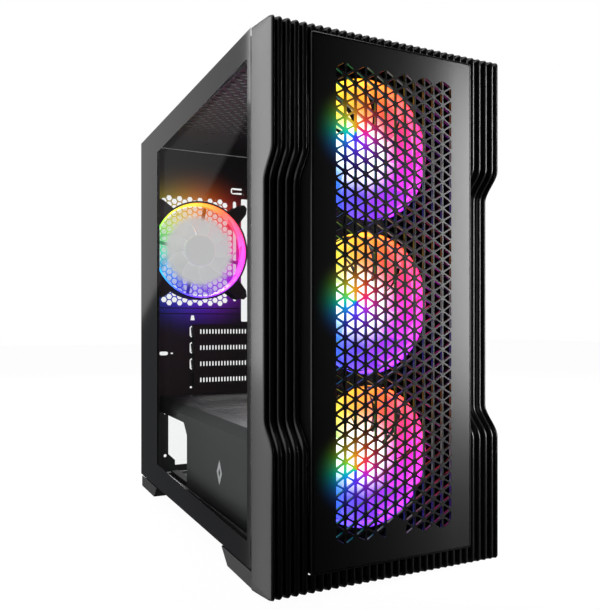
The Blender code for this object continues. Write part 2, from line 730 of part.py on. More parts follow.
STRIP_TOP = 416.3 * MM
STRIP_LOW = 402 * MM
STRIP_MIDDLE = (IO_STRIP_Y[0] + IO_STRIP_Y[1]) / 2
POWER_X, RESET_X = -48 * MM, -30 * MM
POWER_R, RESET_R = 6 * MM, 3.4 * MM
SOCKET_DEPTH = 9 * MM
USB_SIZE = (13.2 * MM, 5.8 * MM)
USB_X = {"usb3_socket": 50 * MM, "usb2_socket_right": 32 * MM, "usb2_socket_left": 14 * MM}
AUDIO_X = {"headphone_socket": 0 * MM, "microphone_socket": -13 * MM}
AUDIO_R = 3.4 * MM


def upright_rod(x, radius, low, high, segments):
    """A cylinder that stands up in the socket strip."""
    mesh = rod_mesh(Vector((0, 0, 0)), radius, high - low, segments)
    mesh.transform(Matrix.Translation((x, y_at(STRIP_MIDDLE), (low + high) / 2))
                   @ Matrix.Rotation(pi / 2, 4, "X"))
    return mesh


def socket_strip():
    """The plastic strip in the roof that holds the buttons and front sockets."""
    strip = block("socket_strip", IO_STRIP_X, (y_at(IO_STRIP_Y[0]), y_at(IO_STRIP_Y[1])),
                  (STRIP_LOW, STRIP_TOP), black_plastic("socket_strip"), 0.6 * MM)
    floor = STRIP_TOP - SOCKET_DEPTH - GAP
    above = STRIP_TOP + MM
    middle = y_at(STRIP_MIDDLE)
    pockets = [
        upright_rod(POWER_X, POWER_R + GAP, floor, above, 28),
        upright_rod(RESET_X, RESET_R + GAP, floor, above, 20)]
    pockets += [upright_rod(x, AUDIO_R + GAP, floor, above, 20) for x in AUDIO_X.values()]
    across, along = USB_SIZE[0] / 2 + GAP, USB_SIZE[1] / 2 + GAP
    pockets += [
        box_mesh((x - across, x + across), (middle - along, middle + along), (floor, above))
        for x in USB_X.values()]
    cut(strip, "pockets", *pockets)


def buttons():
    """Each button stands a little proud and travels down into its pocket."""
    low = STRIP_TOP - 6.5 * MM
    for name, x, radius, segments in (
            ("power_button", POWER_X, POWER_R, 28), ("light_button", RESET_X, RESET_R, 20)):
        item = part(name, upright_rod(x, radius, low, STRIP_TOP + 0.4 * MM, segments),
                    black_plastic(name))
        smooth_round(item)
        soften(item, 0.4 * MM)


def sockets():
    metal = finish("socket_metal", (0.6, 0.6, 0.62), 0.3, 1.0)
    low, high = STRIP_TOP - SOCKET_DEPTH, STRIP_TOP - GAP
    middle = y_at(STRIP_MIDDLE)
    across, along = USB_SIZE[0] / 2, USB_SIZE[1] / 2
    skin = 0.6 * MM
    for name, x in USB_X.items():
        shell = block(name, (x - across, x + across), (middle - along, middle + along), (low, high), metal)
        cut(shell, "mouth", box_mesh(
            (x - across + skin, x + across - skin), (middle - along + skin, middle + along - skin),
            (low + 1.5 * MM, high + MM)))
        add(shell, "tongue", box_mesh(
            (x - across + 1.4 * MM, x + across - 1.4 * MM), (middle - 0.6 * MM, middle + 1.3 * MM),
            (low + MM, high - 1.5 * MM)))
    for name, x in AUDIO_X.items():
        jack = part(name, upright_rod(x, AUDIO_R, low, high, 20), black_plastic(name))
        smooth_round(jack)
        cut(jack, "hole", upright_rod(x, 1.8 * MM, low + MM, high + MM, 16))


# ------------------------------------------------------------------- assembly

base_pan()
rear_wall()
slot_covers()
roof()
motherboard_tray()
front_frame()
psu_shroud()
drive_cage()
drive_bracket()
fan_hub()
psu_pads()
feet()
for place, fan_height in FRONT_FAN_Z.items():
    fan(f"front_fan_{place}", 0.0, 41 * MM + GAP, fan_height)
fan("rear_fan", REAR_FAN_X, REAR_WALL - SHEET - GAP - 0.8 * MM - GAP - FAN_DEPTH, REAR_FAN_Z)
bezel_shell()
panel_surround()
front_grille()
glass_side()
right_side()
for place, screw_height in SCREW_Z.items():
    thumbscrew(f"glass_thumbscrew_{place}", -1, screw_height)
    thumbscrew(f"right_thumbscrew_{place}", 1, screw_height)
filters()
socket_strip()
buttons()
sockets()
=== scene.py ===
"""Looks of a micro-ATX desktop tower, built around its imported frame.

The sections follow the case as it is put together: studio, steel chassis, fans, power-supply bay,
sockets and filters, front bezel and grille, glass side, steel side, screws and feet.
"""
from collections import Counter
from math import atan2, cos, pi, radians, sin, sqrt, tau

import bmesh
import bpy
from mathutils import Matrix, Vector


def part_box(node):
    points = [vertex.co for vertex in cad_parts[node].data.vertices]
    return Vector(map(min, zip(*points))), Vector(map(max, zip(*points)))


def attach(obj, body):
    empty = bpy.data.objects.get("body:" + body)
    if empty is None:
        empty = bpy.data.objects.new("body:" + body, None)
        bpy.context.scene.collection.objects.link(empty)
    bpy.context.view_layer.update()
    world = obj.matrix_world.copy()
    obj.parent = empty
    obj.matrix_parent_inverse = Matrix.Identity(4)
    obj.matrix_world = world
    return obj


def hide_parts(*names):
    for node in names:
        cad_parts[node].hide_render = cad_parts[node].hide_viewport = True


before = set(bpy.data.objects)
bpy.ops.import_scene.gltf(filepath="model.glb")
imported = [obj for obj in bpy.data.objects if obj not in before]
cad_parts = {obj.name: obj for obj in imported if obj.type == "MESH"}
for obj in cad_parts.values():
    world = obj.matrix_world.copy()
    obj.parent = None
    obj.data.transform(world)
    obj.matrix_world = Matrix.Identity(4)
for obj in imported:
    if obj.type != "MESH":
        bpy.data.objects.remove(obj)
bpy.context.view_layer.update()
MM = 0.001

# ---------------------------------------------------------------------- studio
# A white sweep and a pale floor. A soft box stands at the front right, others to the left, behind
# and overhead. Glowing cards on the left are what the bezel's satin side and the glass reflect.
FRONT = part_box("bezel_shell")[0].y

camera_data = bpy.data.cameras.new("camera")
camera_data.lens = 39.9
camera_data.sensor_width = 36.0
camera_data.clip_start = 0.01
camera = bpy.data.objects.new("camera", camera_data)
camera_data.shift_y = 0.0311
camera.location = (-0.2865, -0.62775, 0.1973)
camera.rotation_euler = (radians(90), 0.0, radians(-25.93))
bpy.context.scene.collection.objects.link(camera)
bpy.context.scene.camera = camera
bpy.context.scene.view_settings.view_transform = "Standard"


def shader_node(tree, kind, inputs=None, **settings):
    """A new shader node with these settings and input values."""
    node = tree.nodes.new(f"ShaderNode{kind}")
    for name, value in settings.items():
        setattr(node, name, value)
    for name, value in (inputs or {}).items():
        node.inputs[name].default_value = value
    return node


def wire(tree, *links):
    """Makes each link: from a node's output to a node's input."""
    for source, output, target, entry in links:
        tree.links.new(source.outputs[output], target.inputs[entry])


world = bpy.data.worlds.new("white_sweep")
bpy.context.scene.world = world
world.use_nodes = True
sweep = world.node_tree
backdrop = sweep.nodes["Background"]
backdrop.inputs["Color"].default_value = (1.0, 1.0, 1.0, 1.0)
room = shader_node(sweep, "Background", {"Color": (0.92, 0.95, 1.0, 1.0), "Strength": 0.07})
path = shader_node(sweep, "LightPath")
seen = shader_node(sweep, "MixShader")
wire(sweep, (path, "Is Camera Ray", seen, "Fac"), (room, "Background", seen, 1),
     (backdrop, "Background", seen, 2), (seen, "Shader", sweep.nodes["World Output"], "Surface"))


def stage_plane(name, corners, brightness, strength, diffuse_share=0.0):
    """A flat stage piece that glows, partly mixed with a plain matt surface that takes shadows."""
    mesh = bpy.data.meshes.new(name)
    mesh.from_pydata(corners, [], [tuple(range(len(corners)))])
    piece = bpy.data.objects.new(name, mesh)
    bpy.context.scene.collection.objects.link(piece)
    material = bpy.data.materials.new(name)
    material.use_nodes = True
    tree = material.node_tree
    tree.nodes.remove(tree.nodes["Principled BSDF"])
    colour = (brightness, brightness, brightness, 1.0)
    glow = shader_node(tree, "Emission", {"Color": colour, "Strength": strength})
    matt = shader_node(tree, "BsdfDiffuse", {"Color": colour})
    mix = shader_node(tree, "MixShader", {"Fac": diffuse_share})
    wire(tree, (glow, "Emission", mix, 1), (matt, "BSDF", mix, 2),
         (mix, "Shader", tree.nodes["Material Output"], "Surface"))
    mesh.materials.append(material)
    return piece


FLOOR_REACH = 6.0
floor = stage_plane(
    "floor", [(-FLOOR_REACH, -FLOOR_REACH, 0), (FLOOR_REACH, -FLOOR_REACH, 0),
              (FLOOR_REACH, FLOOR_REACH, 0), (-FLOOR_REACH, FLOOR_REACH, 0)], 1.0, 1.08, 0.1)
floor.visible_glossy = False
floor.visible_diffuse = False


def upright_plane(name, x, near, far, low, high, brightness, strength):
    """An upright stage plane across the X axis, from the near Y to the far Y."""
    return stage_plane(name, [(x, near, low), (x, far, low), (x, far, high), (x, near, high)],
                       brightness, strength)


# The cards lie in one plane, but for the upper one, which stands 10 mm before the back left card.
CARD_X, CARD_NEAR, CARD_FAR, CARD_TOP, CARD_FOOT = -0.5, 0.36, 0.818, 1.3, 0.10
cards = [
    stage_plane("back_left_card", [(CARD_X, 0.10, 1.027), (CARD_X, 3.4, -0.415), (CARD_X, 3.4, 2.6),
                                   (CARD_X, 0.10, 2.6)], 1.0, 0.42),
    upright_plane("left_card", CARD_X, CARD_NEAR, CARD_FAR, CARD_FOOT, 0.70, 1.0, 3.0),
    upright_plane("left_upper_card", CARD_X + 0.01, CARD_NEAR, CARD_FAR, 0.70, CARD_TOP, 1.0, 3.0),
    upright_plane("left_front_card", CARD_X, -0.35, CARD_NEAR, 0.0, CARD_TOP, 1.0, 1.5),
    upright_plane("far_front_card", CARD_X, -1.0, -0.35, 0.0, CARD_TOP, 1.0, 0.45),
    upright_plane("left_low_card", CARD_X, CARD_NEAR, CARD_FAR, -0.7, CARD_FOOT, 1.0, 1.1)]
for card in cards:
    card.visible_camera = False
    card.visible_diffuse = False
    card.visible_shadow = False

# A black flag keeps the front right box off the left half of the face.
FLAG_Y, FLAG_LEFT, FLAG_RIGHT = -0.32, -0.40, 0.150
flag = stage_plane("black_flag", [(FLAG_LEFT, FLAG_Y, -0.2), (FLAG_RIGHT, FLAG_Y, -0.2),
                                  (FLAG_RIGHT, FLAG_Y, 1.0), (FLAG_LEFT, FLAG_Y, 1.0)], 0.0, 0.0, 1.0)
flag.visible_camera = False


def soft_box(name, place, aim, size, power):
    """A white area light that looks at a point."""
    data = bpy.data.lights.new(name, "AREA")
    data.shape = "RECTANGLE"
    data.size, data.size_y = size
    data.energy = power
    box = bpy.data.objects.new(name, data)
    box.location = place
    box.rotation_euler = (Vector(aim) - Vector(place)).to_track_quat("-Z", "Y").to_euler()
    box.visible_camera = False
    bpy.context.scene.collection.objects.link(box)


middle = (0.0, 0.0, 0.21)
soft_box("front_right_box", (0.90, -0.88, 0.40), middle, (0.46, 0.80), 19)
soft_box("front_left_box", (-1.25, -0.65, 0.35), middle, (0.6, 1.0), 2.8)
soft_box("left_low_box", (-0.95, 0.05, 0.06), (0.0, 0.05, 0.06), (0.9, 0.16), 4)
soft_box("overhead_box", (0.0, -0.1, 1.4), middle, (1.0, 1.0), 6)
soft_box("rear_box", (0.5, 1.6, 0.9), middle, (0.9, 0.9), 14)
soft_box("bay_lamp", (-0.02, 0.05, 0.104), (-0.02, 0.05, 0.0), (0.11, 0.10), 0.12)

# --------------------------------------------------------------- steel chassis
# Sheet steel, punched, folded and riveted, then powder coated black: base pan, roof, rear wall,
# motherboard tray and front frame. The rear wall, roof and tray are punched plates here.
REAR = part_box("rear_wall")[1].y
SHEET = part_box("roof")[1].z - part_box("roof")[0].z


def behind(distance):
    """Y of the plane this many millimetres behind the front face."""
    return FRONT + distance * MM


def place_upright(y):
    """Puts a flat outline drawn in X and Z on the plane at this Y."""
    return Matrix(((1, 0, 0, 0), (0, 0, -1, y), (0, 1, 0, 0), (0, 0, 0, 1)))


def place_sideways(x):
    """Puts a flat outline drawn in Y and Z on the plane at this X."""
    return Matrix(((0, 0, 1, x), (1, 0, 0, 0), (0, 1, 0, 0), (0, 0, 0, 1)))


def place_level(z):
    """Puts a flat outline drawn in X and Y on the plane at this Z."""
    return Matrix.Translation((0, 0, z))


def punched(outline, holes, thickness, place, edge=0.0):
    """A plate of the given thickness with its holes cut through and its rims eased."""
    curve = bpy.data.curves.new("plate", "CURVE")
    curve.dimensions = "2D"
    curve.fill_mode = "BOTH"
    curve.extrude = thickness / 2 - edge
    curve.bevel_depth = edge
    curve.bevel_resolution = 0
    curve.offset = -edge
    for points in [outline, *holes]:
        spline = curve.splines.new("POLY")
        spline.points.add(len(points) - 1)
        for point, (u, v) in zip(spline.points, points):
            point.co = (u, v, 0.0, 1.0)
        spline.use_cyclic_u = True
    carrier = bpy.data.objects.new("plate", curve)
    bpy.context.scene.collection.objects.link(carrier)
    bpy.context.view_layer.update()
    evaluated = carrier.evaluated_get(bpy.context.evaluated_depsgraph_get())
    mesh = bpy.data.meshes.new_from_object(evaluated)
    bpy.data.objects.remove(carrier, do_unlink=True)
    mesh.transform(place)
    shape = bmesh.new()
    shape.from_mesh(mesh)
    bmesh.ops.remove_doubles(shape, verts=shape.verts, dist=1e-6)
    bmesh.ops.recalc_face_normals(shape, faces=shape.faces)
    shape.to_mesh(mesh)
    shape.free()
    return mesh


def mesh_of(shape, name):
    """Ends an edit and gives its mesh."""
    mesh = bpy.data.meshes.new(name)
    shape.to_mesh(mesh)
    shape.free()
    return mesh


def box_mesh(low, high, ease=0.0):
    """A box between two corners, with its edges eased."""
    shape = bmesh.new()
    low, high = Vector(low), Vector(high)
    bmesh.ops.create_cube(
        shape, size=1.0, matrix=Matrix.LocRotScale((low + high) / 2, None, high - low))
    if ease:
        bmesh.ops.bevel(shape, geom=shape.edges[:], offset=ease, segments=2, affect="EDGES")
    return mesh_of(shape, "box")


def turned_mesh(profile, centre, axis="Y", steps=32):
    """A closed turned shape: (radius, distance along the axis) from one end to the other."""
    shape = bmesh.new()
    rings = []
    for radius, along in profile:
        if radius < 1e-7:
            rings.append([shape.verts.new((0, 0, along))])
            continue
        rings.append([
            shape.verts.new((radius * cos(tau * i / steps), radius * sin(tau * i / steps), along))
            for i in range(steps)])
    for first, second in zip(rings, rings[1:]):
        for i in range(steps):
            j = (i + 1) % steps
            corners = [first[i % len(first)], first[j % len(first)],
                       second[j % len(second)], second[i % len(second)]]
            unique = list(dict.fromkeys(corners))
            if len(unique) > 2:
                shape.faces.new(unique)
    for ring in (rings[0], rings[-1]):
        if len(ring) > 1:
            shape.faces.new(ring)
    turn = {"X": Matrix.Rotation(pi / 2, 4, "Y"), "Y": Matrix.Rotation(-pi / 2, 4, "X"),
            "Z": Matrix.Identity(4)}[axis]
    bmesh.ops.transform(shape, matrix=Matrix.Translation(centre) @ turn, verts=shape.verts)
    bmesh.ops.recalc_face_normals(shape, faces=shape.faces)
    return mesh_of(shape, "turned")


def joined(meshes):
    """Several shapes as one mesh."""
    shape = bmesh.new()
    for mesh in meshes:
        shape.from_mesh(mesh)
    return mesh_of(shape, "group")


def add_piece(name, mesh, body, material, replaced=(), smooth=35):
    """One named piece on its body, in its own finish."""
    mesh.name = name
    piece = bpy.data.objects.new(name, mesh)
    bpy.context.scene.collection.objects.link(piece)
    mesh.shade_smooth()
    mesh.set_sharp_from_angle(angle=radians(smooth))
    mesh.materials.clear()
    mesh.materials.append(material)
    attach(piece, body)
    if replaced:
        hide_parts(*replaced)
    return piece


GRAIN_HEIGHT = 0.08 * MM


def coated(name, colour, roughness, grain, relief, metallic=0.0, drift=0.12):
    """Paint or plastic: fine grain in relief, and slow drifts in its shade and shine."""
    material = bpy.data.materials.new(name)
    material.use_nodes = True
    tree = material.node_tree
    shader = tree.nodes["Principled BSDF"]
    shader.inputs["Metallic"].default_value = metallic
    place = shader_node(tree, "TexCoord")
    fine = shader_node(tree, "TexNoise", {"Scale": grain, "Detail": 3.0})
    broad = shader_node(tree, "TexNoise", {"Scale": 11.0, "Detail": 4.0})
    shade = shader_node(tree, "ValToRGB")
    for element, position, factor in zip(shade.color_ramp.elements, (0.3, 0.7), (1 - drift, 1 + drift)):
        element.position = position
        element.color = (*[channel * factor for channel in colour], 1.0)
    shine = shader_node(tree, "MapRange", {"To Min": roughness * (1 - drift / 2),
                                           "To Max": roughness * (1 + drift / 2)})
    bump = shader_node(tree, "Bump", {"Strength": relief, "Distance": GRAIN_HEIGHT})
    wire(tree, (place, "Object", fine, "Vector"), (place, "Object", broad, "Vector"),
         (broad, "Fac", shade, "Fac"), (shade, "Color", shader, "Base Color"),
         (broad, "Fac", shine, "Value"), (shine, "Result", shader, "Roughness"),
         (fine, "Fac", bump, "Height"), (bump, "Normal", shader, "Normal"))
    return material


def rectangle(u, v):
    """Outline between (low, high) pairs."""
    return [(u[0], v[0]), (u[1], v[0]), (u[1], v[1]), (u[0], v[1])]


def rounded_rectangle(u, v, radius, steps=4):
    """Outline between (low, high) pairs with round corners."""
    points = []
    for (cu, cv), start in (((u[1], v[1]), 0), ((u[0], v[1]), 1), ((u[0], v[0]), 2), ((u[1], v[0]), 3)):
        inner_u = cu - radius if cu == u[1] else cu + radius
        inner_v = cv - radius if cv == v[1] else cv + radius
        for i in range(steps + 1):
            angle = (start + i / steps) * pi / 2
            points.append((inner_u + radius * cos(angle), inner_v + radius * sin(angle)))
    return points


def capsule(u, v, length, width, upright=False, steps=3):
    """A slot with round ends, centred on a point."""
    radius, reach = width / 2, (length - width) / 2
    points = []
    for side in (0, 1):
        for i in range(steps + 1):
            angle = -pi / 2 + side * pi + pi * i / steps
            along = reach * (1 - 2 * side) + radius * cos(angle)
            across = radius * sin(angle)
            points.append((u - across, v + along) if upright else (u + along, v + across))
    return points


def disc(u, v, radius, steps=20):
    """A round outline."""
    return [(u + radius * cos(tau * i / steps), v + radius * sin(tau * i / steps)) for i in range(steps)]


def hexagon(u, v, flats):
    """A hexagon with flat top and bottom, its flats this far apart."""
    radius = flats / sqrt(3)
    return [(u + radius * cos(tau * i / 6), v + radius * sin(tau * i / 6)) for i in range(6)]


powder_coat = coated("black_powder_coat", (0.011, 0.011, 0.012), 0.42, 1500.0, 0.35)


def add_steel(name, mesh, replaced=(), smooth=35):
    """A powder-coated steel piece of the chassis."""
    return add_piece(name, mesh, "chassis", powder_coat, replaced, smooth)


fan_centre = (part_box("rear_fan_rotor")[0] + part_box("rear_fan_rotor")[1]) / 2
VENT_PITCH_X, VENT_PITCH_Z, VENT_HOLE = 6.6 * MM, 7.62 * MM, 6.3 * MM
VENT_REACH, VENT_HALF_HEIGHT, VENT_END_HEIGHT, VENT_RISE = 8, 64.9 * MM, 27 * MM, 1 * MM


def rear_vent():
    """The honeycomb in front of the exhaust fan, shorter in its end columns."""
    holes = []
    for column in range(-VENT_REACH + 1, VENT_REACH):
        offset = 0.0 if column % 2 == 0 else 0.5
        limit = VENT_HALF_HEIGHT if abs(column) < VENT_REACH - 1 else VENT_END_HEIGHT
        for row in range(-9, 10):
            rise = (row + offset) * VENT_PITCH_Z
            if abs(rise) <= limit:
                holes.append(hexagon(fan_centre.x + column * VENT_PITCH_X,
                                     fan_centre.z + VENT_RISE + rise, VENT_HOLE))
    return holes


IO_X, IO_Z = (28.1 * MM, 72.6 * MM), (200.4 * MM, 359.1 * MM)
SLOT_PITCH, SLOT_TOP = 20.32 * MM, 187.8 * MM
SLOT_LEFT, SLOT_RIGHT, SLOT_HALF = -32 * MM, 74 * MM, 6.5 * MM
SLOT_ROWS = [SLOT_TOP - SLOT_PITCH * i for i in range(4)]
wall_low, wall_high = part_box("rear_wall")
PSU_LEFT, PSU_LOW, CORNER, PSU_STEP = -67.7 * MM, 22.8 * MM, 12 * MM, 8.4 * MM
PSU_RIGHT, PSU_HIGH = PSU_LEFT + 138.4 * MM, PSU_LOW + 74.4 * MM
psu_window = [
    (PSU_LEFT + PSU_STEP, PSU_LOW), (PSU_RIGHT, PSU_LOW), (PSU_RIGHT, PSU_HIGH - CORNER),
    (PSU_RIGHT - CORNER, PSU_HIGH), (PSU_LEFT + CORNER, PSU_HIGH), (PSU_LEFT, PSU_HIGH - CORNER),
    (PSU_LEFT, PSU_LOW + 14 * MM), (PSU_LEFT + PSU_STEP, PSU_LOW + 6 * MM)]
# Long relief slots beside the socket opening, screw holes near the corners, and the power supply's.
RELIEF_Z, RELIEF_LENGTH, RELIEF_WIDTH = 291 * MM, 129 * MM, 4.5 * MM
RELIEF_XS, PANEL_HOLE_X, PANEL_HOLE_ZS = (19.1 * MM, -85.9 * MM), 90.5 * MM, (70 * MM, 372 * MM)
PSU_SCREWS = [(x * MM, z * MM) for x in (-71.7, 74.5) for z in (35, 88)]


def hooked_slit(left, right, middle, height, line):
    """A slit that runs round three sides of a tongue, open to the right, with its corners cut."""
    top, low, cut = middle + height / 2, middle - height / 2, 0.8 * line
    return [(right, top), (left + cut, top), (left, top - cut), (left, low + cut), (left + cut, low),
            (right, low), (right, low + line), (left + cut, low + line), (left + line, low + cut),
            (left + line, top - cut), (left + cut, top - line), (right, top - line)]


rear_holes = rear_vent()
rear_holes += [rounded_rectangle(IO_X, IO_Z, 1.5 * MM), psu_window]
rear_holes += [rectangle((SLOT_LEFT, SLOT_RIGHT), (row - SLOT_HALF, row + SLOT_HALF)) for row in SLOT_ROWS]
rear_holes += [capsule(x, RELIEF_Z, RELIEF_LENGTH, RELIEF_WIDTH, upright=True) for x in RELIEF_XS]
rear_holes += [hooked_slit(14 * MM, 29 * MM, 368.6 * MM, 8 * MM, 2.4 * MM)]
rear_holes += [capsule(-73.6 * MM, 161 * MM, 11.5 * MM, 4.6 * MM),
               capsule(-63.5 * MM, 161 * MM, 4 * MM, 1.6 * MM)]
rear_holes += [disc(side * PANEL_HOLE_X, z, 2.2 * MM) for side in (-1, 1) for z in PANEL_HOLE_ZS]
rear_holes += [disc(x, z, 1.9 * MM, 12) for x, z in PSU_SCREWS]
rear_holes += [hooked_slit(-40.5 * MM, -32.6 * MM, row, 14 * MM, 2.3 * MM) for row in SLOT_ROWS[:3]]
rear_holes += [[(-39.5 * MM, 202 * MM), (-34 * MM, 202 * MM), (-35 * MM, 208 * MM), (-38.5 * MM, 208 * MM)]]
rear_holes += [disc(-39 * MM, 118 * MM, 1.4 * MM, 12)]
rear_plate = punched(
    rectangle((wall_low.x, wall_high.x), (wall_low.z, wall_high.z)), rear_holes, SHEET,
    place_upright((wall_low.y + wall_high.y) / 2), 0.15 * MM)
rear_wall_piece = add_steel("rear_plate", rear_plate, ["rear_wall"], 30)

# Creases pressed into the rear wall: a long step under the fan and a field beside the card slots.
CREASE_WIDTH, CREASE_EASE = 1.2 * MM, 0.25 * MM
crease_front, crease_back = wall_low.y - 0.35 * MM, wall_low.y + 0.2 * MM
creases = [
    box_mesh((-88 * MM, crease_front, z), (24 * MM, crease_back, z + CREASE_WIDTH), CREASE_EASE)
    for z in (209.5 * MM, 216.5 * MM)]
creases += [box_mesh((-66 * MM, crease_front, 118 * MM), (-66 * MM + CREASE_WIDTH, crease_back, 200 * MM),
                     CREASE_EASE)]
add_steel("rear_creases", joined(creases))

# Slot blanks: thin strips with a row of upright dashes and a tab folded forward for the screw.
BLANK_HALF, BLANK_SHEET, TAB_SHEET, TAB_LENGTH = 9 * MM, 0.8 * MM, 0.9 * MM, 9 * MM
DASHES, DASH_START, DASH_PITCH = 24, -26.4 * MM, 4.0 * MM
for index, row in enumerate(SLOT_ROWS, 1):
    low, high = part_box(f"slot_cover_{index}")
    blank_z = (row - BLANK_HALF, row + BLANK_HALF)
    dashes = [capsule(DASH_START + DASH_PITCH * i, row, 6.2 * MM, 1.8 * MM, upright=True)
              for i in range(DASHES)]
    face = punched(rounded_rectangle((low.x, high.x), blank_z, 1.2 * MM), dashes, BLANK_SHEET,
                   place_upright(high.y - BLANK_SHEET / 2), 0.12 * MM)
    tab = punched(rounded_rectangle((high.y - TAB_LENGTH, high.y), blank_z, 0.8 * MM),
                  [disc(high.y - 5 * MM, row, 1.8 * MM, 14)], TAB_SHEET,
                  place_sideways(low.x + 0.5 * MM), 0.12 * MM)
    add_steel(f"slot_blank_{index}", joined([face, tab]), [f"slot_cover_{index}"], 30)

# The roof: staggered rows of short slots over the fan places, one long slot each side.
roof_low, roof_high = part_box("roof")
strip_low, strip_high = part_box("socket_strip")
roof_holes = [rectangle((strip_low.x - 0.3 * MM, strip_high.x + 0.3 * MM),
                        (strip_low.y - 0.3 * MM, strip_high.y + 0.3 * MM))]
ROOF_LINES, ROOF_LINE_PITCH, ROOF_FIELD_START = 38, 6.5, 70
ROOF_SLOTS, ROOF_SLOT_PITCH, ROOF_FIELD_HALF = 15, 11.0, 77
for line in range(ROOF_LINES):
    shift = ROOF_SLOT_PITCH / 2 * (line % 2)
    for i in range(ROOF_SLOTS):
        x = -ROOF_FIELD_HALF + shift + i * ROOF_SLOT_PITCH
        if x < ROOF_FIELD_HALF + 0.5:
            roof_holes.append(capsule(x * MM, behind(ROOF_FIELD_START + line * ROOF_LINE_PITCH), 8.2 * MM,
                                      3.6 * MM, steps=2))
roof_holes += [capsule(side * 88 * MM, behind(178), 40 * MM, 4.5 * MM, upright=True) for side in (-1, 1)]
roof_plate = punched(rectangle((roof_low.x, roof_high.x), (roof_low.y, roof_high.y)), roof_holes, SHEET,
                     place_level((roof_low.z + roof_high.z) / 2), 0.12 * MM)
add_steel("roof_plate", roof_plate, ["roof"], 30)

# The motherboard tray: cooler window, cable slots, drive openings and slots for cable ties, and nine
# brass-coloured posts at the board's hole spacings.
tray_low, tray_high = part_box("motherboard_tray")
TRAY_INNER = 77 * MM
CABLE_SLOTS, CABLE_SLOT_DEPTH = [(126, 188), (212, 272), (296, 356)], (behind(104), behind(126))
tray_holes = [rounded_rectangle((behind(228), behind(352)), (262 * MM, 342 * MM), 8 * MM)]
tray_holes += [rounded_rectangle(CABLE_SLOT_DEPTH, (low * MM, high * MM), 6 * MM)
               for low, high in CABLE_SLOTS]
tray_holes += [rounded_rectangle((behind(104), behind(218)), (22 * MM, 82 * MM), 3 * MM),
               rounded_rectangle((behind(240), behind(384)), (22 * MM, 98 * MM), 3 * MM)]
TIE_PLACES = [(90, z) for z in (140, 230, 320, 395)] + [(375, z) for z in (140, 230, 320)]
tray_holes += [capsule(behind(y), z * MM, 12 * MM, 4 * MM, upright=True) for y, z in TIE_PLACES]
tray_plate = punched(rectangle((tray_low.y, tray_high.y), (tray_low.z, tray_high.z)), tray_holes, SHEET,
                     place_sideways(TRAY_INNER + SHEET / 2), 0.15 * MM)
add_steel("tray_plate", tray_plate, ["motherboard_tray"], 30)

brass = coated("brass_posts", (0.55, 0.40, 0.16), 0.3, 900.0, 0.05, 1.0)
BOARD_HOLES = (10.2, 165.1, 237.5)
POST_PLACES = [(behind(396 - a), (363 - b) * MM) for a in BOARD_HOLES for b in BOARD_HOLES]
post_profile = [(3.2, 0.0), (3.4, 0.3), (3.4, 5.6), (2.9, 6.6), (1.5, 6.6), (1.5, 2.0), (0, 2.0)]
posts = [
    turned_mesh([(r * MM, -a * MM) for r, a in post_profile], (TRAY_INNER, y, z), "X", 6)
    for y, z in POST_PLACES]
add_piece("motherboard_posts", joined(posts), "chassis", brass)

# The base pan: a punched floor over the power-supply filter, folded up at both sides, with rails.
base_low, base_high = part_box("base_pan")
FLOOR_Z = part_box("foot_front_left")[1].z + 0.3 * MM
VENT_LINES, VENT_COLUMNS = 18, 9
floor_holes = [
    capsule((-52 + 13 * column) * MM, behind(254 + 7.5 * line), 9.6 * MM, 3.4 * MM)
    for line in range(VENT_LINES) for column in range(VENT_COLUMNS)]
floor_plate = punched(rectangle((base_low.x, base_high.x), (base_low.y, base_high.y)), floor_holes,
                      SHEET, place_level(FLOOR_Z + SHEET / 2), 0.12 * MM)
folds = [
    box_mesh((side * (base_high.x - SHEET / 2) - SHEET / 2, base_low.y, FLOOR_Z + SHEET / 2),
             (side * (base_high.x - SHEET / 2) + SHEET / 2, base_high.y, base_high.z), 0.15 * MM)
    for side in (-1, 1)]
RAIL_X, RAIL_HALF = 60.2 * MM, 0.8 * MM
rails = [
    box_mesh((side * RAIL_X - RAIL_HALF, behind(238), base_low.z),
             (side * RAIL_X + RAIL_HALF, behind(392), FLOOR_Z + 0.3 * MM), 0.2 * MM)
    for side in (-1, 1)]
add_steel("base_plate", joined([floor_plate, *folds, *rails]), ["base_pan"], 30)


def refinish(material, slot, *nodes):
    """Gives carried-over nodes their finish."""
    for node in nodes:
        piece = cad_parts[node]
        piece.data.materials.clear()
        piece.data.materials.append(material)


refinish(powder_coat, "black_steel", "front_frame", "drive_cage", "drive_bracket")

# Domed rivets where the rear wall meets the roof, base and tray, and the two screws under the roof.
rivet_profile = [(0, 0.9), (1.2, 0.8), (2.0, 0.4), (2.3, 0), (1.2, -0.6), (0, -0.6)]
rivet_places = [(x, z) for x in (-78, -30, 30, 64) for z in (405, 19.5)]
rivet_places += [(80, z) for z in (60, 150, 250, 340)]
rivets = [turned_mesh([(r * MM, a * MM) for r, a in rivet_profile], (x * MM, REAR, z * MM), steps=14)
          for x, z in rivet_places]
add_piece("rear_rivets", joined(rivets), "chassis", powder_coat)
roof_rivets = [turned_mesh([(r * MM, -a * MM) for r, a in rivet_profile],
                           (x * MM, behind(360), roof_low.z), "Z", 14) for x in (-30, 30)]
add_piece("roof_screws", joined(roof_rivets), "chassis", powder_coat)

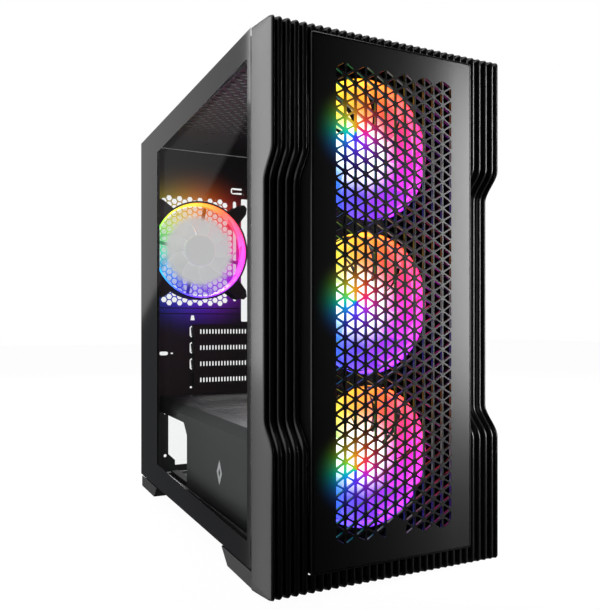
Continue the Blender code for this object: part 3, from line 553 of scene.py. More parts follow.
# ------------------------------------------------------------ power-supply bay
# A folded steel cover with a sloped corner and two punched fields on top. Its side is open at the
# rear for the power supply, and carries a plain printed lozenge near the front.
shroud_low, shroud_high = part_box("psu_shroud")
SHROUD_X = shroud_low.x + SHEET / 2
SLOPE_ACROSS, SLOPE_DOWN = 8 * MM, 7.2 * MM
side_top = shroud_high.z - SHEET / 2 - SLOPE_DOWN
opening_front, opening_top = behind(259.5), 93.3 * MM
side_outline = [
    (shroud_low.y, shroud_low.z), (opening_front, shroud_low.z), (opening_front, opening_top - CORNER),
    (opening_front + CORNER, opening_top), (shroud_high.y, opening_top), (shroud_high.y, side_top),
    (shroud_low.y, side_top)]
shroud_side = punched(side_outline, [], SHEET, place_sideways(SHROUD_X), 0.15 * MM)
slope_angle = atan2(SLOPE_DOWN, SLOPE_ACROSS)
slope_place = Matrix.Translation((SHROUD_X + SLOPE_ACROSS / 2, 0, side_top + SLOPE_DOWN / 2)) \
    @ Matrix.Rotation(-slope_angle, 4, "Y")
slope_half = sqrt(SLOPE_DOWN ** 2 + SLOPE_ACROSS ** 2) / 2 + 0.2 * MM
shroud_slope = punched(rectangle((-slope_half, slope_half), (shroud_low.y, shroud_high.y)), [], SHEET,
                       slope_place, 0.15 * MM)
FIELDS, LINE_PITCH, TOP_SLOTS, TOP_SLOT_PITCH, TOP_LEFT = ((92, 246), (256, 372)), 5, 16, 8.2, -62
top_holes = []
for first, last in FIELDS:
    for line in range(int((last - first) / LINE_PITCH)):
        for column in range(TOP_SLOTS):
            x = TOP_LEFT + (line % 2) * TOP_SLOT_PITCH / 2 + column * TOP_SLOT_PITCH
            top_holes.append(capsule(x * MM, behind(first + line * LINE_PITCH), 5.8 * MM, 2.5 * MM, steps=2))
shroud_top = punched(rectangle((SHROUD_X + SLOPE_ACROSS - 0.3 * MM, shroud_high.x),
                               (shroud_low.y, shroud_high.y)), top_holes, SHEET,
                     place_level(shroud_high.z - SHEET / 2), 0.12 * MM)
add_steel("shroud_cover", joined([shroud_side, shroud_slope]), ["psu_shroud"], 25)

# The upright walls of the slots in its top are painted light grey: painted light, standing in for the light
# that shows through the holes.
slot_light_coat = coated("slot_light_coat", (0.010, 0.010, 0.011), 0.42, 1500.0, 0.35)
slot_light_tree = slot_light_coat.node_tree
coat_shader = slot_light_tree.nodes["Principled BSDF"]
coat_colour = coat_shader.inputs["Base Color"].links[0].from_node
facing = shader_node(slot_light_tree, "NewGeometry")
split = shader_node(slot_light_tree, "SeparateXYZ")
steepness = shader_node(slot_light_tree, "Math", operation="ABSOLUTE")
painted_light_share = shader_node(slot_light_tree, "MapRange", {"From Min": 0.5, "From Max": 0.3})
# Painted light: slot walls that stand upright are mixed towards light grey.
painted_light_mix = shader_node(slot_light_tree, "Mix", {"B": (0.75, 0.75, 0.76, 1.0)}, data_type="RGBA")
wire(slot_light_tree, (coat_colour, "Color", painted_light_mix, "A"), (facing, "Normal", split, "Vector"),
     (split, "Z", steepness, 0), (steepness, "Value", painted_light_share, "Value"), (painted_light_share, "Result", painted_light_mix, "Factor"),
     (painted_light_mix, "Result", coat_shader, "Base Color"))
add_piece("shroud_top", shroud_top, "chassis", slot_light_coat)

print_white = coated("grey_print", (0.75, 0.76, 0.77), 0.5, 1800.0, 0.1)
LOZENGE_Y, LOZENGE_Z, LOZENGE_X = behind(157), 63 * MM, SHROUD_X - SHEET / 2 - 0.06 * MM
lozenge, lozenge_hole = [
    [(LOZENGE_Y + reach * MM, LOZENGE_Z), (LOZENGE_Y, LOZENGE_Z + 1.6 * reach * MM),
     (LOZENGE_Y - reach * MM, LOZENGE_Z), (LOZENGE_Y, LOZENGE_Z - 1.6 * reach * MM)]
    for reach in (7, 2.6)]
add_piece("shroud_lozenge", punched(lozenge, [lozenge_hole], 0.1 * MM, place_sideways(LOZENGE_X)),
          "chassis", print_white)

rubber = coated("matt_rubber", (0.022, 0.022, 0.022), 0.85, 1200.0, 0.4)
refinish(rubber, "rubber", "psu_pad_left", "psu_pad_right")

# ------------------------------------------------------------------------ fans
# Four 120 mm fans. A black frame holds a milky light ring, and nine milky curved blades turn on its
# motor. Lamps in the ring and hub light each fan through the colours, hottest at the hub.
frame_black = coated("fan_frame_black", (0.02, 0.02, 0.022), 0.4, 1300.0, 0.3)
FAN_HALF, BORE, FAN_DEPTH, MOUNT = 60 * MM, 58.3 * MM, 25 * MM, 52.5 * MM
FLANGE = 3.2 * MM


def eared_disc(x, z, steps=96):
    """A disc as wide as the fan, with an ear round each of its four mounting holes."""
    ear, diagonal = 7.4 * MM, MOUNT * sqrt(2)
    outline = []
    for i in range(steps):
        angle = tau * (i + 0.5) / steps
        aside = abs(angle % (pi / 2) - pi / 4)
        reach = FAN_HALF
        if diagonal * sin(aside) < ear:
            reach = diagonal * cos(aside) + sqrt(ear ** 2 - (diagonal * sin(aside)) ** 2)
        outline.append((x + reach * cos(angle), z + reach * sin(angle)))
    return outline


def fan_frame_mesh(centre):
    """Two square flanges joined by a barrel and corner posts, with four struts behind to the motor."""
    x, z = centre.x, centre.z
    outline = eared_disc(x, z)
    mounts = [disc(x + a * MOUNT, z + b * MOUNT, 2.3 * MM, 14) for a in (-1, 1) for b in (-1, 1)]
    pieces = [
        punched(outline, [disc(x, z, BORE, 64), *mounts], FLANGE, place_upright(y), 0.4 * MM)
        for y in (centre.y + FLANGE / 2, centre.y + FAN_DEPTH - FLANGE / 2)]
    pieces.append(punched(disc(x, z, BORE + 1.5 * MM, 64), [disc(x, z, BORE, 64)],
                          FAN_DEPTH - 2 * MM, place_upright(centre.y + FAN_DEPTH / 2)))
    pieces += [
        turned_mesh([(0, 2 * MM), (3.9 * MM, 2 * MM), (3.9 * MM, 23 * MM), (0, 23 * MM)],
                    (x + a * MOUNT, centre.y, z + b * MOUNT), steps=14)
        for a in (-1, 1) for b in (-1, 1)]
    for quarter in range(4):
        strut = box_mesh((18 * MM, -1.2 * MM, -2 * MM), (BORE + 0.8 * MM, 1.2 * MM, 2 * MM), 0.5 * MM)
        turn = Matrix.Rotation(quarter * pi / 2 + radians(12), 4, "Y")
        strut.transform(Matrix.Translation((x, centre.y + FAN_DEPTH - 1.7 * MM, z)) @ turn)
        pieces.append(strut)
    pieces.append(turned_mesh([(0, 21.5 * MM), (19.6 * MM, 21.5 * MM), (20.5 * MM, 22.2 * MM),
                               (20.5 * MM, 24.2 * MM), (20 * MM, 24.6 * MM), (0, 24.6 * MM)], centre))
    return joined(pieces)


BLADES, HUB, TIP = 9, 20 * MM, 54 * MM


def rotor_mesh(centre):
    """A round-edged hub cap with curved, pitched blades."""
    cap = turned_mesh([(0, 2 * MM), (14 * MM, 2 * MM), (17.6 * MM, 2.5 * MM), (19.4 * MM, 3.8 * MM),
                       (HUB, 6 * MM), (HUB, 20.6 * MM), (0, 20.6 * MM)], centre, steps=48)
    shape = bmesh.new()
    spans, chords = 9, 9
    for index in range(BLADES):
        grid = []
        for i in range(spans + 1):
            reach = i / spans
            radius = HUB - 0.6 * MM + (TIP - HUB + 0.6 * MM) * reach
            row = []
            for j in range(chords + 1):
                chord = j / chords
                angle = tau * index / BLADES + radians(46) * (chord - 0.5) - radians(26) * reach ** 1.4
                rise = (5.2 + 12.6 * chord + 1.6 * sin(pi * chord) - 1.2 * reach) * MM
                row.append(shape.verts.new((radius * cos(angle), rise, -radius * sin(angle))))
            grid.append(row)
        for first, second in zip(grid, grid[1:]):
            for j in range(chords):
                shape.faces.new((first[j], first[j + 1], second[j + 1], second[j]))
    bmesh.ops.recalc_face_normals(shape, faces=shape.faces)
    bmesh.ops.solidify(shape, geom=shape.faces[:], thickness=1.3 * MM)
    bmesh.ops.transform(shape, matrix=Matrix.Translation(centre), verts=shape.verts)
    return joined([cap, mesh_of(shape, "blades")])


# Colours round the wheel, from the left through the bottom, right and top, back to the left
WHEEL = [
    (0.00, (0.00, 0.75, 0.42)), (0.07, (0.00, 0.38, 0.95)), (0.17, (0.04, 0.06, 1.00)),
    (0.27, (0.17, 0.02, 0.95)), (0.38, (0.42, 0.02, 0.85)), (0.48, (0.90, 0.01, 0.50)),
    (0.57, (1.00, 0.02, 0.16)), (0.66, (1.00, 0.07, 0.02)), (0.75, (1.00, 0.30, 0.01)),
    (0.84, (0.80, 0.62, 0.02)), (0.92, (0.20, 0.80, 0.05)), (1.00, (0.00, 0.75, 0.42))]


def round_fan(tree, place, x, z, spacing=1.0):
    """Nodes for the hue at each angle, and the distance, round the nearest fan in a stack."""
    split = shader_node(tree, "SeparateXYZ")
    across = shader_node(tree, "Math", {1: x}, operation="SUBTRACT")
    up = shader_node(tree, "Math", {1: z}, operation="SUBTRACT")
    nearest = shader_node(tree, "Math", {1: spacing / 2, 2: -spacing / 2}, operation="WRAP")
    flat = shader_node(tree, "CombineXYZ")
    wheel = shader_node(tree, "TexGradient", gradient_type="RADIAL")
    hues = shader_node(tree, "ValToRGB")
    ramp = hues.color_ramp
    ramp.elements[0].color = (*WHEEL[0][1], 1.0)
    ramp.elements[1].color = (*WHEEL[-1][1], 1.0)
    for position, colour in WHEEL[1:-1]:
        ramp.elements.new(position).color = (*colour, 1.0)
    reach = shader_node(tree, "VectorMath", operation="LENGTH")
    wire(tree, (place, "Object", split, "Vector"), (split, "X", across, 0), (split, "Z", up, 0),
         (up, "Value", nearest, 0), (across, "Value", flat, "X"), (nearest, "Value", flat, "Y"),
         (flat, "Vector", wheel, "Vector"), (wheel, "Fac", hues, "Fac"), (flat, "Vector", reach, 0))
    return hues, reach


VEIL_START, VEIL_END = 36 * MM, 44 * MM


def lit_plastic(name, centre, hot, hot_reach, glow, hub_glow, cover=1.0, base=0.55):
    """Milky plastic lit from inside: hue goes round with the angle, whiter and hotter inward."""
    material = bpy.data.materials.new(name)
    material.use_nodes = True
    tree = material.node_tree
    shader = tree.nodes["Principled BSDF"]
    shader.inputs["Base Color"].default_value = (base, base, base, 1.0)
    shader.inputs["Roughness"].default_value = 0.35
    shader.inputs["Emission Strength"].default_value = 1.0
    place = shader_node(tree, "TexCoord")
    hues, reach = round_fan(tree, place, centre.x, centre.z)
    veil = shader_node(tree, "MapRange", {"From Min": VEIL_START, "From Max": VEIL_END,
                                          "To Min": 1.0, "To Max": cover})
    white = shader_node(tree, "MapRange", {"From Min": hot_reach[0], "From Max": hot_reach[1],
                                           "To Min": 1.0, "To Max": 0.0}, interpolation_type="SMOOTHSTEP")
    blend = shader_node(tree, "Mix", {"B": (*hot, 1.0)}, data_type="RGBA")
    power = shader_node(tree, "MapRange", {"To Min": glow, "To Max": hub_glow})
    bright = shader_node(tree, "VectorMath", operation="SCALE")
    grain = shader_node(tree, "TexNoise", {"Scale": 900.0})
    relief = shader_node(tree, "Bump", {"Strength": 0.08, "Distance": 0.1 * MM})
    wire(tree, (reach, "Value", veil, "Value"), (veil, "Result", shader, "Alpha"),
         (reach, "Value", white, "Value"), (white, "Result", blend, "Factor"), (hues, "Color", blend, "A"),
         (white, "Result", power, "Value"), (blend, "Result", bright, 0), (power, "Result", bright, "Scale"),
         (bright, "Vector", shader, "Emission Color"), (place, "Object", grain, "Vector"),
         (grain, "Fac", relief, "Height"), (relief, "Normal", shader, "Normal"))
    return material


def paint_fan_glow(material, x, z, spacing, start, end, strength):
    """Paints the glow of fans stacked this far apart into what lies round them, as emission in their coat.
    """
    tree = material.node_tree
    shader = tree.nodes["Principled BSDF"]
    shader.inputs["Emission Strength"].default_value = 1.0
    hues, reach = round_fan(tree, shader_node(tree, "TexCoord"), x, z, spacing)
    fade = shader_node(tree, "MapRange", {"From Min": start, "From Max": end, "To Min": 1.0, "To Max": 0.0})
    soft = shader_node(tree, "Math", {1: 3.0}, operation="POWER")
    power = shader_node(tree, "Math", {1: strength}, operation="MULTIPLY")
    bright = shader_node(tree, "VectorMath", operation="SCALE")
    wire(tree, (reach, "Value", fade, "Value"), (fade, "Result", soft, 0), (soft, "Value", power, 0),
         (hues, "Color", bright, 0), (power, "Value", bright, "Scale"),
         (bright, "Vector", shader, "Emission Color"))


WHITE = (1.0, 1.0, 1.0)
# For each fan: colour and reach of the hot middle, glow of tips and hub, cover of the tips, and shade.
FRONT_LOOK = (WHITE, (12 * MM, 38 * MM), 1.15, 1.8, 1.0, 0.55)
REAR_LOOK = ((0.86, 0.86, 0.86), (37 * MM, 48 * MM), 0.7, 0.66, 0.30, 0.06)
FAN_LOOKS = {"front_fan_bottom": FRONT_LOOK, "front_fan_middle": FRONT_LOOK,
             "front_fan_top": FRONT_LOOK, "rear_fan": REAR_LOOK}
RING_GLOW = 2.6
for fan, look in FAN_LOOKS.items():
    low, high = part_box(f"{fan}_frame")
    centre = Vector(((low.x + high.x) / 2, low.y, (low.z + high.z) / 2))
    add_piece(f"{fan}_housing", fan_frame_mesh(centre), "chassis", frame_black,
              [f"{fan}_frame"], 30)
    add_piece(f"{fan}_impeller", rotor_mesh(centre), f"{fan}_blades",
              lit_plastic(f"{fan}_milky_blades", centre, *look), [f"{fan}_rotor"], 40)
    ring_lit = lit_plastic(f"{fan}_ring_light", centre, look[0], (0.0, 1 * MM), RING_GLOW, RING_GLOW)
    refinish(ring_lit, "light_ring", f"{fan}_light_ring")

# Painted glow: the rear wall's coat is given the ring light's colours around the exhaust fan, as emission.
fan_glow_wall = coated("fan_glow_powder_coat", (0.011, 0.011, 0.012), 0.42, 1500.0, 0.35)
paint_fan_glow(fan_glow_wall, fan_centre.x, fan_centre.z, 1.0, 36 * MM, 118 * MM, 1.8)
rear_wall_piece.data.materials[0] = fan_glow_wall

# Pan-head screws: four outside the rear wall for the exhaust fan.
screw_steel = coated("black_screws", (0.05, 0.05, 0.052), 0.32, 1600.0, 0.1, 0.9)
screw_profile = [(0, 1.2), (0.9, 1.3), (1.1, 2.2), (2.6, 2.0), (3.6, 1.2), (3.8, 0.2), (3.8, 0), (0, 0)]
fan_screws = [
    turned_mesh([(r * MM, a * MM) for r, a in screw_profile],
                (fan_centre.x + a * MOUNT, REAR, fan_centre.z + b * MOUNT), steps=18)
    for a in (-1, 1) for b in (-1, 1)]
add_piece("rear_fan_screws", joined(fan_screws), "chassis", screw_steel)

# The controller that drives the four fans' lamps: a small plastic box with a row of plug headers.
plastic_black = coated("moulded_black", (0.022, 0.022, 0.024), 0.42, 1300.0, 0.35)
refinish(plastic_black, "black_plastic", "fan_hub")
hub_low, hub_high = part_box("fan_hub")
headers = [
    box_mesh((hub_high.x - 0.5 * MM, hub_low.y + (6 + 9 * i) * MM, hub_low.z + 8 * MM),
             (hub_high.x + 3.5 * MM, hub_low.y + (12 + 9 * i) * MM, hub_low.z + 16 * MM), 0.4 * MM)
    for i in range(6)]
add_piece("hub_headers", joined(headers), "chassis",
          coated("ivory_headers", (0.55, 0.54, 0.50), 0.5, 1000.0, 0.1))

# --------------------------------------------------------- sockets and filters
# A plastic strip let into the roof holds two keys, three nickel-plated sockets and two audio jacks.
refinish(plastic_black, "black_plastic", "socket_strip", "power_button", "light_button",
         "headphone_socket", "microphone_socket")
nickel = coated("nickel_plate", (0.62, 0.61, 0.58), 0.24, 700.0, 0.05, 1.0)
refinish(nickel, "socket_metal", "usb3_socket", "usb2_socket_left", "usb2_socket_right")
tongue_colours = {"usb3_socket": (0.02, 0.09, 0.45), "usb2_socket_left": (0.02, 0.02, 0.02),
                  "usb2_socket_right": (0.02, 0.02, 0.02)}
for node, colour in tongue_colours.items():
    low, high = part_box(node)
    centre = (low + high) / 2
    tongue = box_mesh((low.x + 1.2 * MM, centre.y - 0.9 * MM, low.z + 2 * MM),
                      (high.x - 1.2 * MM, centre.y + 1.5 * MM, high.z - 1.2 * MM), 0.2 * MM)
    add_piece(f"{node}_tongue", tongue, "chassis",
              coated(f"{node}_tongue_plastic", colour, 0.4, 1200.0, 0.1))

# The roof filter: woven nylon in a magnetic border. The floor filter: the same cloth in a frame.
cloth = coated("woven_nylon", (0.018, 0.018, 0.019), 0.7, 1400.0, 0.5)
cloth.node_tree.nodes["Principled BSDF"].inputs["Alpha"].default_value = 0.6
filter_low, filter_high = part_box("top_filter")
FILTER_BORDER = 7 * MM
border = punched(
    rounded_rectangle((filter_low.x, filter_high.x), (filter_low.y, filter_high.y), 3 * MM),
    [rounded_rectangle((filter_low.x + FILTER_BORDER, filter_high.x - FILTER_BORDER),
                       (filter_low.y + FILTER_BORDER, filter_high.y - FILTER_BORDER), 2 * MM)],
    filter_high.z - filter_low.z, place_level((filter_low.z + filter_high.z) / 2), 0.3 * MM)
add_piece("top_filter_border", border, "top_dust_filter", rubber, ["top_filter"])
sheet = punched(rectangle((filter_low.x + 3 * MM, filter_high.x - 3 * MM),
                          (filter_low.y + 3 * MM, filter_high.y - 3 * MM)), [], 0.3 * MM,
                place_level((filter_low.z + filter_high.z) / 2))
add_piece("top_filter_cloth", sheet, "top_dust_filter", cloth)

tray_filter_low, tray_filter_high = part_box("psu_filter")
filter_top = tray_filter_high.z
filter_bars = [rectangle((tray_filter_low.x + (6 + 28 * i) * MM, tray_filter_low.x + (31 + 28 * i) * MM),
                         (behind(247 + 48 * j), behind(292 + 48 * j)))
               for i in range(4) for j in range(3)]
grid = punched(rectangle((tray_filter_low.x, tray_filter_high.x), (tray_filter_low.y, behind(392))),
               filter_bars, 1.8 * MM, place_level(filter_top - 0.9 * MM), 0.2 * MM)
pull = box_mesh((-12 * MM, behind(391), tray_filter_low.z),
                (12 * MM, tray_filter_high.y, filter_top - 0.2 * MM), 0.8 * MM)
add_piece("psu_filter_frame", joined([grid, pull]), "psu_dust_filter", plastic_black,
          ["psu_filter"])
sheet = punched(rectangle((tray_filter_low.x + 2 * MM, tray_filter_high.x - 2 * MM),
                          (behind(244), behind(390))), [], 0.3 * MM, place_level(filter_top - 0.9 * MM))
add_piece("psu_filter_cloth", sheet, "psu_dust_filter", cloth)

# ----------------------------------------------------------------- front bezel
# A satin black moulding. Round upright ribs run over its face and ends, and follow the set-back
# waist; its sides are flat bands. Clips behind snap over the edges of the steel front frame.
bezel_plastic = coated("satin_black_moulding", (0.012, 0.012, 0.013), 0.24, 1400.0, 0.2)
bezel_low, bezel_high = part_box("bezel_shell")
RIB_PITCH, RIB_DEPTH = 6.5 * MM, 3.0 * MM
RIB_STEPS = 12
RIBS_EACH_SIDE = 15
RIB_FACE = FRONT + 1.8 * MM
WAIST_DEPTH = 14.7 * MM
WAISTS = ((105.4 * MM, 130.6 * MM), (298.3 * MM, 322.7 * MM))
SIDE_ROUND = 1.8 * MM
BACK_EDGE = behind(39.3)
grille_low, grille_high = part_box("panel_surround")
OPENING_GAP = 0.3 * MM


def bezel_profile():
    """The bezel from the side, from the bottom rear edge round the front to the top rear edge."""
    low, high = bezel_low.z, bezel_high.z
    rise, radius = 5 * MM, 3.5 * MM
    end = [(BACK_EDGE, 0.0), (RIB_FACE + 22 * MM, 1.9 * MM), (RIB_FACE + 6.5 * MM, 4.0 * MM)]
    arc = [(RIB_FACE + radius * (1 + cos(angle)), rise + radius * (1 + sin(angle)))
           for angle in [-pi / 2 - pi / 2 * i / 7 for i in range(8)]]
    bottom = [(y, low + z) for y, z in end + arc]
    top = [(y, high - z) for y, z in reversed(end + arc)]
    face = []
    for (start, stop), rising in zip(WAISTS, (True, False)):
        for i in range(17):
            share = (1 - cos(pi * i / 16)) / 2
            depth = WAIST_DEPTH * (share if rising else 1 - share)
            face.append((RIB_FACE + depth, start + (stop - start) * i / 16))
    gap_low, gap_high = grille_low.z - OPENING_GAP, grille_high.z + OPENING_GAP
    return bottom + [(RIB_FACE, gap_low)] + face + [(RIB_FACE, gap_high)] + top


def rib_relief(x):
    """How far the surface lies behind the crests of the ribs at this X."""
    return RIB_DEPTH * (1 - abs(sin(pi * x / RIB_PITCH)))


def bezel_columns():
    """(X, depth behind the crests) across the bezel: ribs, then a rounded corner at each side."""
    last = RIBS_EACH_SIDE * RIB_PITCH
    steps = RIBS_EACH_SIDE * RIB_STEPS
    columns = [(x, rib_relief(x)) for x in [i * last / steps for i in range(-steps, steps + 1)]]
    shoulder = bezel_high.x - SIDE_ROUND
    for side in (-1, 1):
        opening = grille_high.x + OPENING_GAP
        columns.append((side * opening, rib_relief(opening)))
        for i in range(1, 5):
            share = i / 5
            columns.append((side * (last + (shoulder - last) * share),
                            RIB_DEPTH * (1 - sin(pi / 2 * share) ** 0.8)))
        for i in range(9):
            angle = pi / 2 * i / 8
            columns.append((side * (shoulder + SIDE_ROUND * sin(angle)), SIDE_ROUND * (1 - cos(angle))))
    return sorted(columns)


def bezel_mesh():
    """The ribbed face with its opening, closed at each side by a flat band."""
    profile = bezel_profile()
    normals = []
    for i in range(len(profile)):
        before, after = profile[max(i - 1, 0)], profile[min(i + 1, len(profile) - 1)]
        along = Vector((after[0] - before[0], after[1] - before[1])).normalized()
        normals.append((along.y, -along.x))
    columns = bezel_columns()
    shape = bmesh.new()
    grid = []
    for (y, z), (ny, nz) in zip(profile, normals):
        grid.append([shape.verts.new((x, y + ny * depth, z + nz * depth)) for x, depth in columns])
    gap_low, gap_high = grille_low.z - OPENING_GAP, grille_high.z + OPENING_GAP
    for i in range(len(grid) - 1):
        middle_z = (profile[i][1] + profile[i + 1][1]) / 2
        for j in range(len(columns) - 1):
            middle_x = abs(columns[j][0] + columns[j + 1][0]) / 2
            if middle_x < grille_high.x and gap_low < middle_z < gap_high:
                continue
            shape.faces.new((grid[i][j], grid[i][j + 1], grid[i + 1][j + 1], grid[i + 1][j]))
    for j in (0, -1):
        backs = [shape.verts.new((row[j].co.x, BACK_EDGE, row[j].co.z)) for row in grid]
        for i in range(len(grid) - 1):
            shape.faces.new((grid[i][j], grid[i + 1][j], backs[i + 1], backs[i]))
    bmesh.ops.remove_doubles(shape, verts=shape.verts, dist=1e-5)
    loose = [vertex for vertex in shape.verts if not vertex.link_faces]
    bmesh.ops.delete(shape, geom=loose, context="VERTS")
    bmesh.ops.recalc_face_normals(shape, faces=shape.faces)
    return mesh_of(shape, "bezel")


# The open rims stay sharp, so the thickness that follows doesn't round the bands' shading.
bezel = add_piece("ribbed_bezel", bezel_mesh(), "bezel", bezel_plastic,
                  ["bezel_shell"], 40)
uses = Counter(key for face in bezel.data.polygons for key in face.edge_keys)
for edge in bezel.data.edges:
    if uses[edge.key] == 1:
        edge.use_edge_sharp = True
wall = bezel.modifiers.new("wall", "SOLIDIFY")
wall.thickness = 1.4 * MM
wall.offset = -1

# Each clip: a finger, a barb at its tip and a web that ties it to the side band.
CLIP_PARTS = (((86.5, 91.5), (32, 46), 2.9, 0.8), ((85.7, 88), (41.6, 44.4), 2.5, 0.5),
              ((91, 100), (32, 39), 1.2, 0.2))
clips = []
for z in (45, 160, 265, 380):
    for side in (-1, 1):
        for across, depth, half, ease in CLIP_PARTS:
            left, right = sorted(side * x * MM for x in across)
            clips.append(box_mesh((left, behind(depth[0]), (z - half) * MM),
                                  (right, behind(depth[1]), (z + half) * MM), ease * MM))
add_piece("bezel_clips", joined(clips), "bezel", bezel_plastic)

# -------------------------------------------------------- front panel, lattice
# A fine-grained flat panel stands proud of the bezel in a box with a rounded rim. Its middle is cut
# into a lattice of triangles, which ends in scallops at the top and a notch at the bottom.
lattice_coat_with_glow = coated("fine_grained_moulding", (0.017, 0.017, 0.018), 0.31, 1500.0, 0.3)
RIM = 1.7 * MM


def rim_mesh(low, high, corner, profile, steps=6):
    """A profile, (inset from the edge, Y) points in order, swept round an upright rectangle."""
    shape = bmesh.new()
    rings = []
    for inset, y in profile:
        radius = max(corner - inset, 0.05 * MM)
        outline = rounded_rectangle((low.x + inset, high.x - inset), (low.z + inset, high.z - inset),
                                    radius, steps)
        rings.append([shape.verts.new((x, y, z)) for x, z in outline])
    for first, second in zip(rings, rings[1:] + rings[:1]):
        for i in range(len(first)):
            j = (i + 1) % len(first)
            shape.faces.new((first[i], first[j], second[j], second[i]))
    bmesh.ops.recalc_face_normals(shape, faces=shape.faces)
    return mesh_of(shape, "rim")


rim_round = [(RIM * (1 - sin(a)), FRONT + RIM * (1 - cos(a))) for a in [pi / 2 * i / 6 for i in range(7)]]
surround_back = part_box("panel_surround")[1].y
surround_profile = [*rim_round, (0, surround_back), (2.4 * MM, surround_back),
                    (2.4 * MM, FRONT + 2.6 * MM), (RIM, FRONT + 2.6 * MM)]
add_piece("panel_box", rim_mesh(grille_low, grille_high, 2.4 * MM, surround_profile), "bezel",
          bezel_plastic, ["panel_surround"], 30)

CELL = 10 * MM
COLUMN = CELL * sqrt(3) / 2
BAR = 1.5 * MM
COLUMNS_EACH_SIDE = 6
FIELD_LOW, FIELD_HIGH, NOTCH = 42.4 * MM, 382.4 * MM, 50 * MM
middle_low, middle_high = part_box("front_fan_middle_frame")
FAN_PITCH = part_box("front_fan_top_frame")[0].z - middle_low.z
# Painted glow: the lattice's coat is given the front fans' colours round each fan, as emission, for their
# light spilling over the bars.
paint_fan_glow(lattice_coat_with_glow, -34 * MM, (middle_low.z + middle_high.z) / 2, FAN_PITCH, 10 * MM, 38 * MM, 0.8)


def eased_triangle(points, cut):
    """A triangle with its tips rounded off."""
    outline = []
    for i in range(3):
        tip, before, after = Vector(points[i]), Vector(points[i - 1]), Vector(points[(i + 1) % 3])
        start = tip + (before - tip).normalized() * cut
        stop = tip + (after - tip).normalized() * cut
        outline += [tuple(start), tuple((start + stop + tip * 2) / 4), tuple(stop)]
    return outline


def lattice():
    """The triangular holes of the panel's middle."""
    holes = []
    inset = BAR / 2
    for column in range(-COLUMNS_EACH_SIDE, COLUMNS_EACH_SIDE):
        left = column * COLUMN
        centre_column = column in (-1, 0)
        steps = round((FIELD_HIGH - FIELD_LOW) / (CELL / 2))
        for step in range(steps + 1):
            height = FIELD_LOW + step * CELL / 2
            if centre_column and height < NOTCH:
                continue
            flat_on_left = (column % 2 == 1) == (step % 2 == 0)
            flat = left + inset if flat_on_left else left + COLUMN - inset
            tip = left + COLUMN - 2 * inset if flat_on_left else left + 2 * inset
            half = abs(tip - flat) / sqrt(3)
            holes.append(eased_triangle(
                [(flat, height - half), (flat, height + half), (tip, height)], 0.9 * MM))
    return holes


PANEL_SHEET, PANEL_GAP, PANEL_SET_BACK = 2.3 * MM, 0.15 * MM, 0.25 * MM
panel_inset = RIM + PANEL_GAP
panel_outline = rounded_rectangle(
    (grille_low.x + panel_inset, grille_high.x - panel_inset),
    (grille_low.z + panel_inset, grille_high.z - panel_inset), 0.8 * MM)
panel = punched(panel_outline, lattice(), PANEL_SHEET,
                place_upright(FRONT + PANEL_SET_BACK + PANEL_SHEET / 2), 0.22 * MM)
add_piece("lattice_panel", panel, "bezel", lattice_coat_with_glow, ["front_grille"], 30)

# ------------------------------------------------------------------ glass side
# One full sheet of tempered glass, printed black round its border on the outside, bonded to a
# pressed steel frame that hooks over the rear wall.
glass_low, glass_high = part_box("side_glass")


def clear_glass(name):
    """Lightly tinted clear glass; its reflection grows towards grazing angles, alike on both faces."""
    material = bpy.data.materials.new(name)
    material.use_nodes = True
    tree = material.node_tree
    tree.nodes.remove(tree.nodes["Principled BSDF"])
    through = shader_node(tree, "BsdfTransparent")
    mirror = shader_node(tree, "BsdfGlossy", {"Roughness": 0.0})
    graze = shader_node(tree, "LayerWeight", {"Blend": 0.5})
    steep = shader_node(tree, "Math", {1: 5.0}, operation="POWER")
    share = shader_node(tree, "Math", {1: 0.1, 2: 0.028}, operation="MULTIPLY_ADD")
    place = shader_node(tree, "TexCoord")
    smears = shader_node(tree, "TexNoise", {"Scale": 7.0})
    tint = shader_node(tree, "ValToRGB")
    tint.color_ramp.elements[0].color = (0.955, 0.965, 0.962, 1.0)
    tint.color_ramp.elements[1].color = (0.975, 0.980, 0.978, 1.0)
    mix = shader_node(tree, "MixShader")
    wire(tree, (place, "Object", smears, "Vector"), (smears, "Fac", tint, "Fac"),
         (tint, "Color", through, "Color"), (graze, "Facing", steep, 0), (steep, "Value", share, 0),
         (share, "Value", mix, "Fac"), (through, "BSDF", mix, 1), (mirror, "BSDF", mix, 2),
         (mix, "Shader", tree.nodes["Material Output"], "Surface"))
    return material


refinish(clear_glass("tempered_glass"), "tinted_glass", "side_glass")
print_black = coated("printed_border", (0.012, 0.012, 0.013), 0.06, 900.0, 0.02)
WINDOW_FRONT, WINDOW_REAR, PRINT_EDGE = behind(47.7), behind(320), 0.6 * MM
window_outline = [
    (WINDOW_FRONT, glass_low.z + 19 * MM), (WINDOW_REAR, glass_low.z + 26 * MM),
    (WINDOW_REAR, glass_high.z - 29 * MM), (WINDOW_FRONT, glass_high.z - 21 * MM)]
glass_border = punched(
    rectangle((glass_low.y + PRINT_EDGE, glass_high.y - PRINT_EDGE),
              (glass_low.z + PRINT_EDGE, glass_high.z - PRINT_EDGE)),
    [window_outline], 0.12 * MM, place_sideways(glass_low.x - 0.05 * MM))
add_piece("glass_print", glass_border, "glass_panel", print_black)
refinish(powder_coat, "black_steel", "glass_frame")

# ------------------------------------------------------------------ steel side
# A plain powder-coated sheet, folded in round its edges, closes the cable side.
refinish(powder_coat, "black_steel", "right_panel", "right_panel_hem")

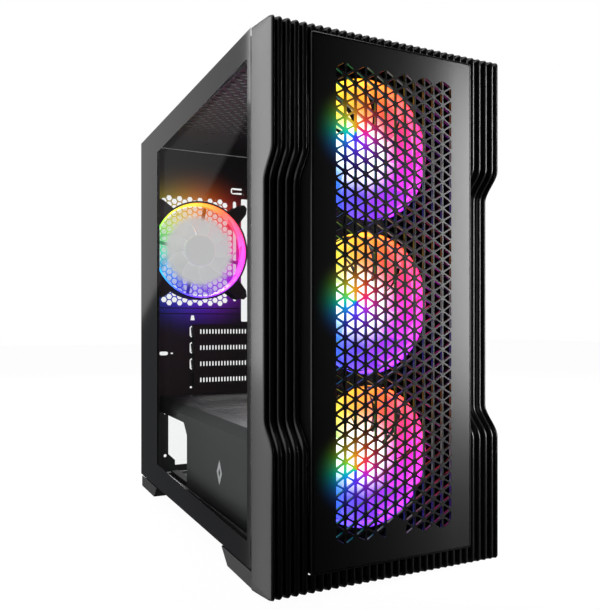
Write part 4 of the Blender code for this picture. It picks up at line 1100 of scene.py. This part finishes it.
# ----------------------------------------------------------- thumbscrews, feet
# Four captive thumbscrews, turned and knurled in black zinc, hold the two side panels.
zinc = coated("black_zinc", (0.085, 0.085, 0.09), 0.3, 1200.0, 0.15, 0.95)


def thumbscrew_mesh(low, high):
    """A knurled head with a screwdriver dimple, a neck, and a threaded shank that points forward."""
    x, z = (low.x + high.x) / 2, (low.z + high.z) / 2
    back = high.y
    knurls = 36
    shape = bmesh.new()
    profile = [(0, -1.2), (1.2, -1.2), (1.6, 0), (4.6, 0), (5.3, -0.7), (5.4, -1.2), (5.4, -5.6),
               (5.2, -6.1), (3.6, -6.4), (3.6, -7.4), (1.75, -7.5)]
    profile += [(1.75 - 0.3 * (i % 2), -7.9 - 0.4 * i) for i in range(15)]
    profile += [(1.2, -14.2), (0, -14.2)]
    rings = []
    for radius, along in profile:
        knurled = -5.7 < along < -1.0 and radius > 5
        ring = []
        for i in range(knurls * 2):
            reach = radius - (0.28 if knurled and i % 2 else 0.0)
            angle = pi * i / knurls
            ring.append(shape.verts.new((x + reach * MM * cos(angle), back + along * MM,
                                         z + reach * MM * sin(angle))))
        rings.append(ring)
    for first, second in zip(rings, rings[1:]):
        for i in range(knurls * 2):
            j = (i + 1) % (knurls * 2)
            shape.faces.new((first[i], first[j], second[j], second[i]))
    bmesh.ops.remove_doubles(shape, verts=shape.verts, dist=1e-6)
    bmesh.ops.recalc_face_normals(shape, faces=shape.faces)
    return mesh_of(shape, "thumbscrew")


for side in ("glass", "right"):
    for place in ("bottom", "top"):
        low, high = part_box(f"{side}_thumbscrew_{place}")
        add_piece(f"{side}_knurled_screw_{place}", thumbscrew_mesh(low, high), f"{side}_screw_{place}",
                  zinc, [f"{side}_thumbscrew_{place}"], 25)

# Moulded feet with rubber pads let into their undersides.
corners = [f"{end}_{side}" for end in ("front", "rear") for side in ("left", "right")]
refinish(plastic_black, "black_plastic", *[f"foot_{corner}" for corner in corners])
refinish(rubber, "rubber", *[f"foot_pad_{corner}" for corner in corners])
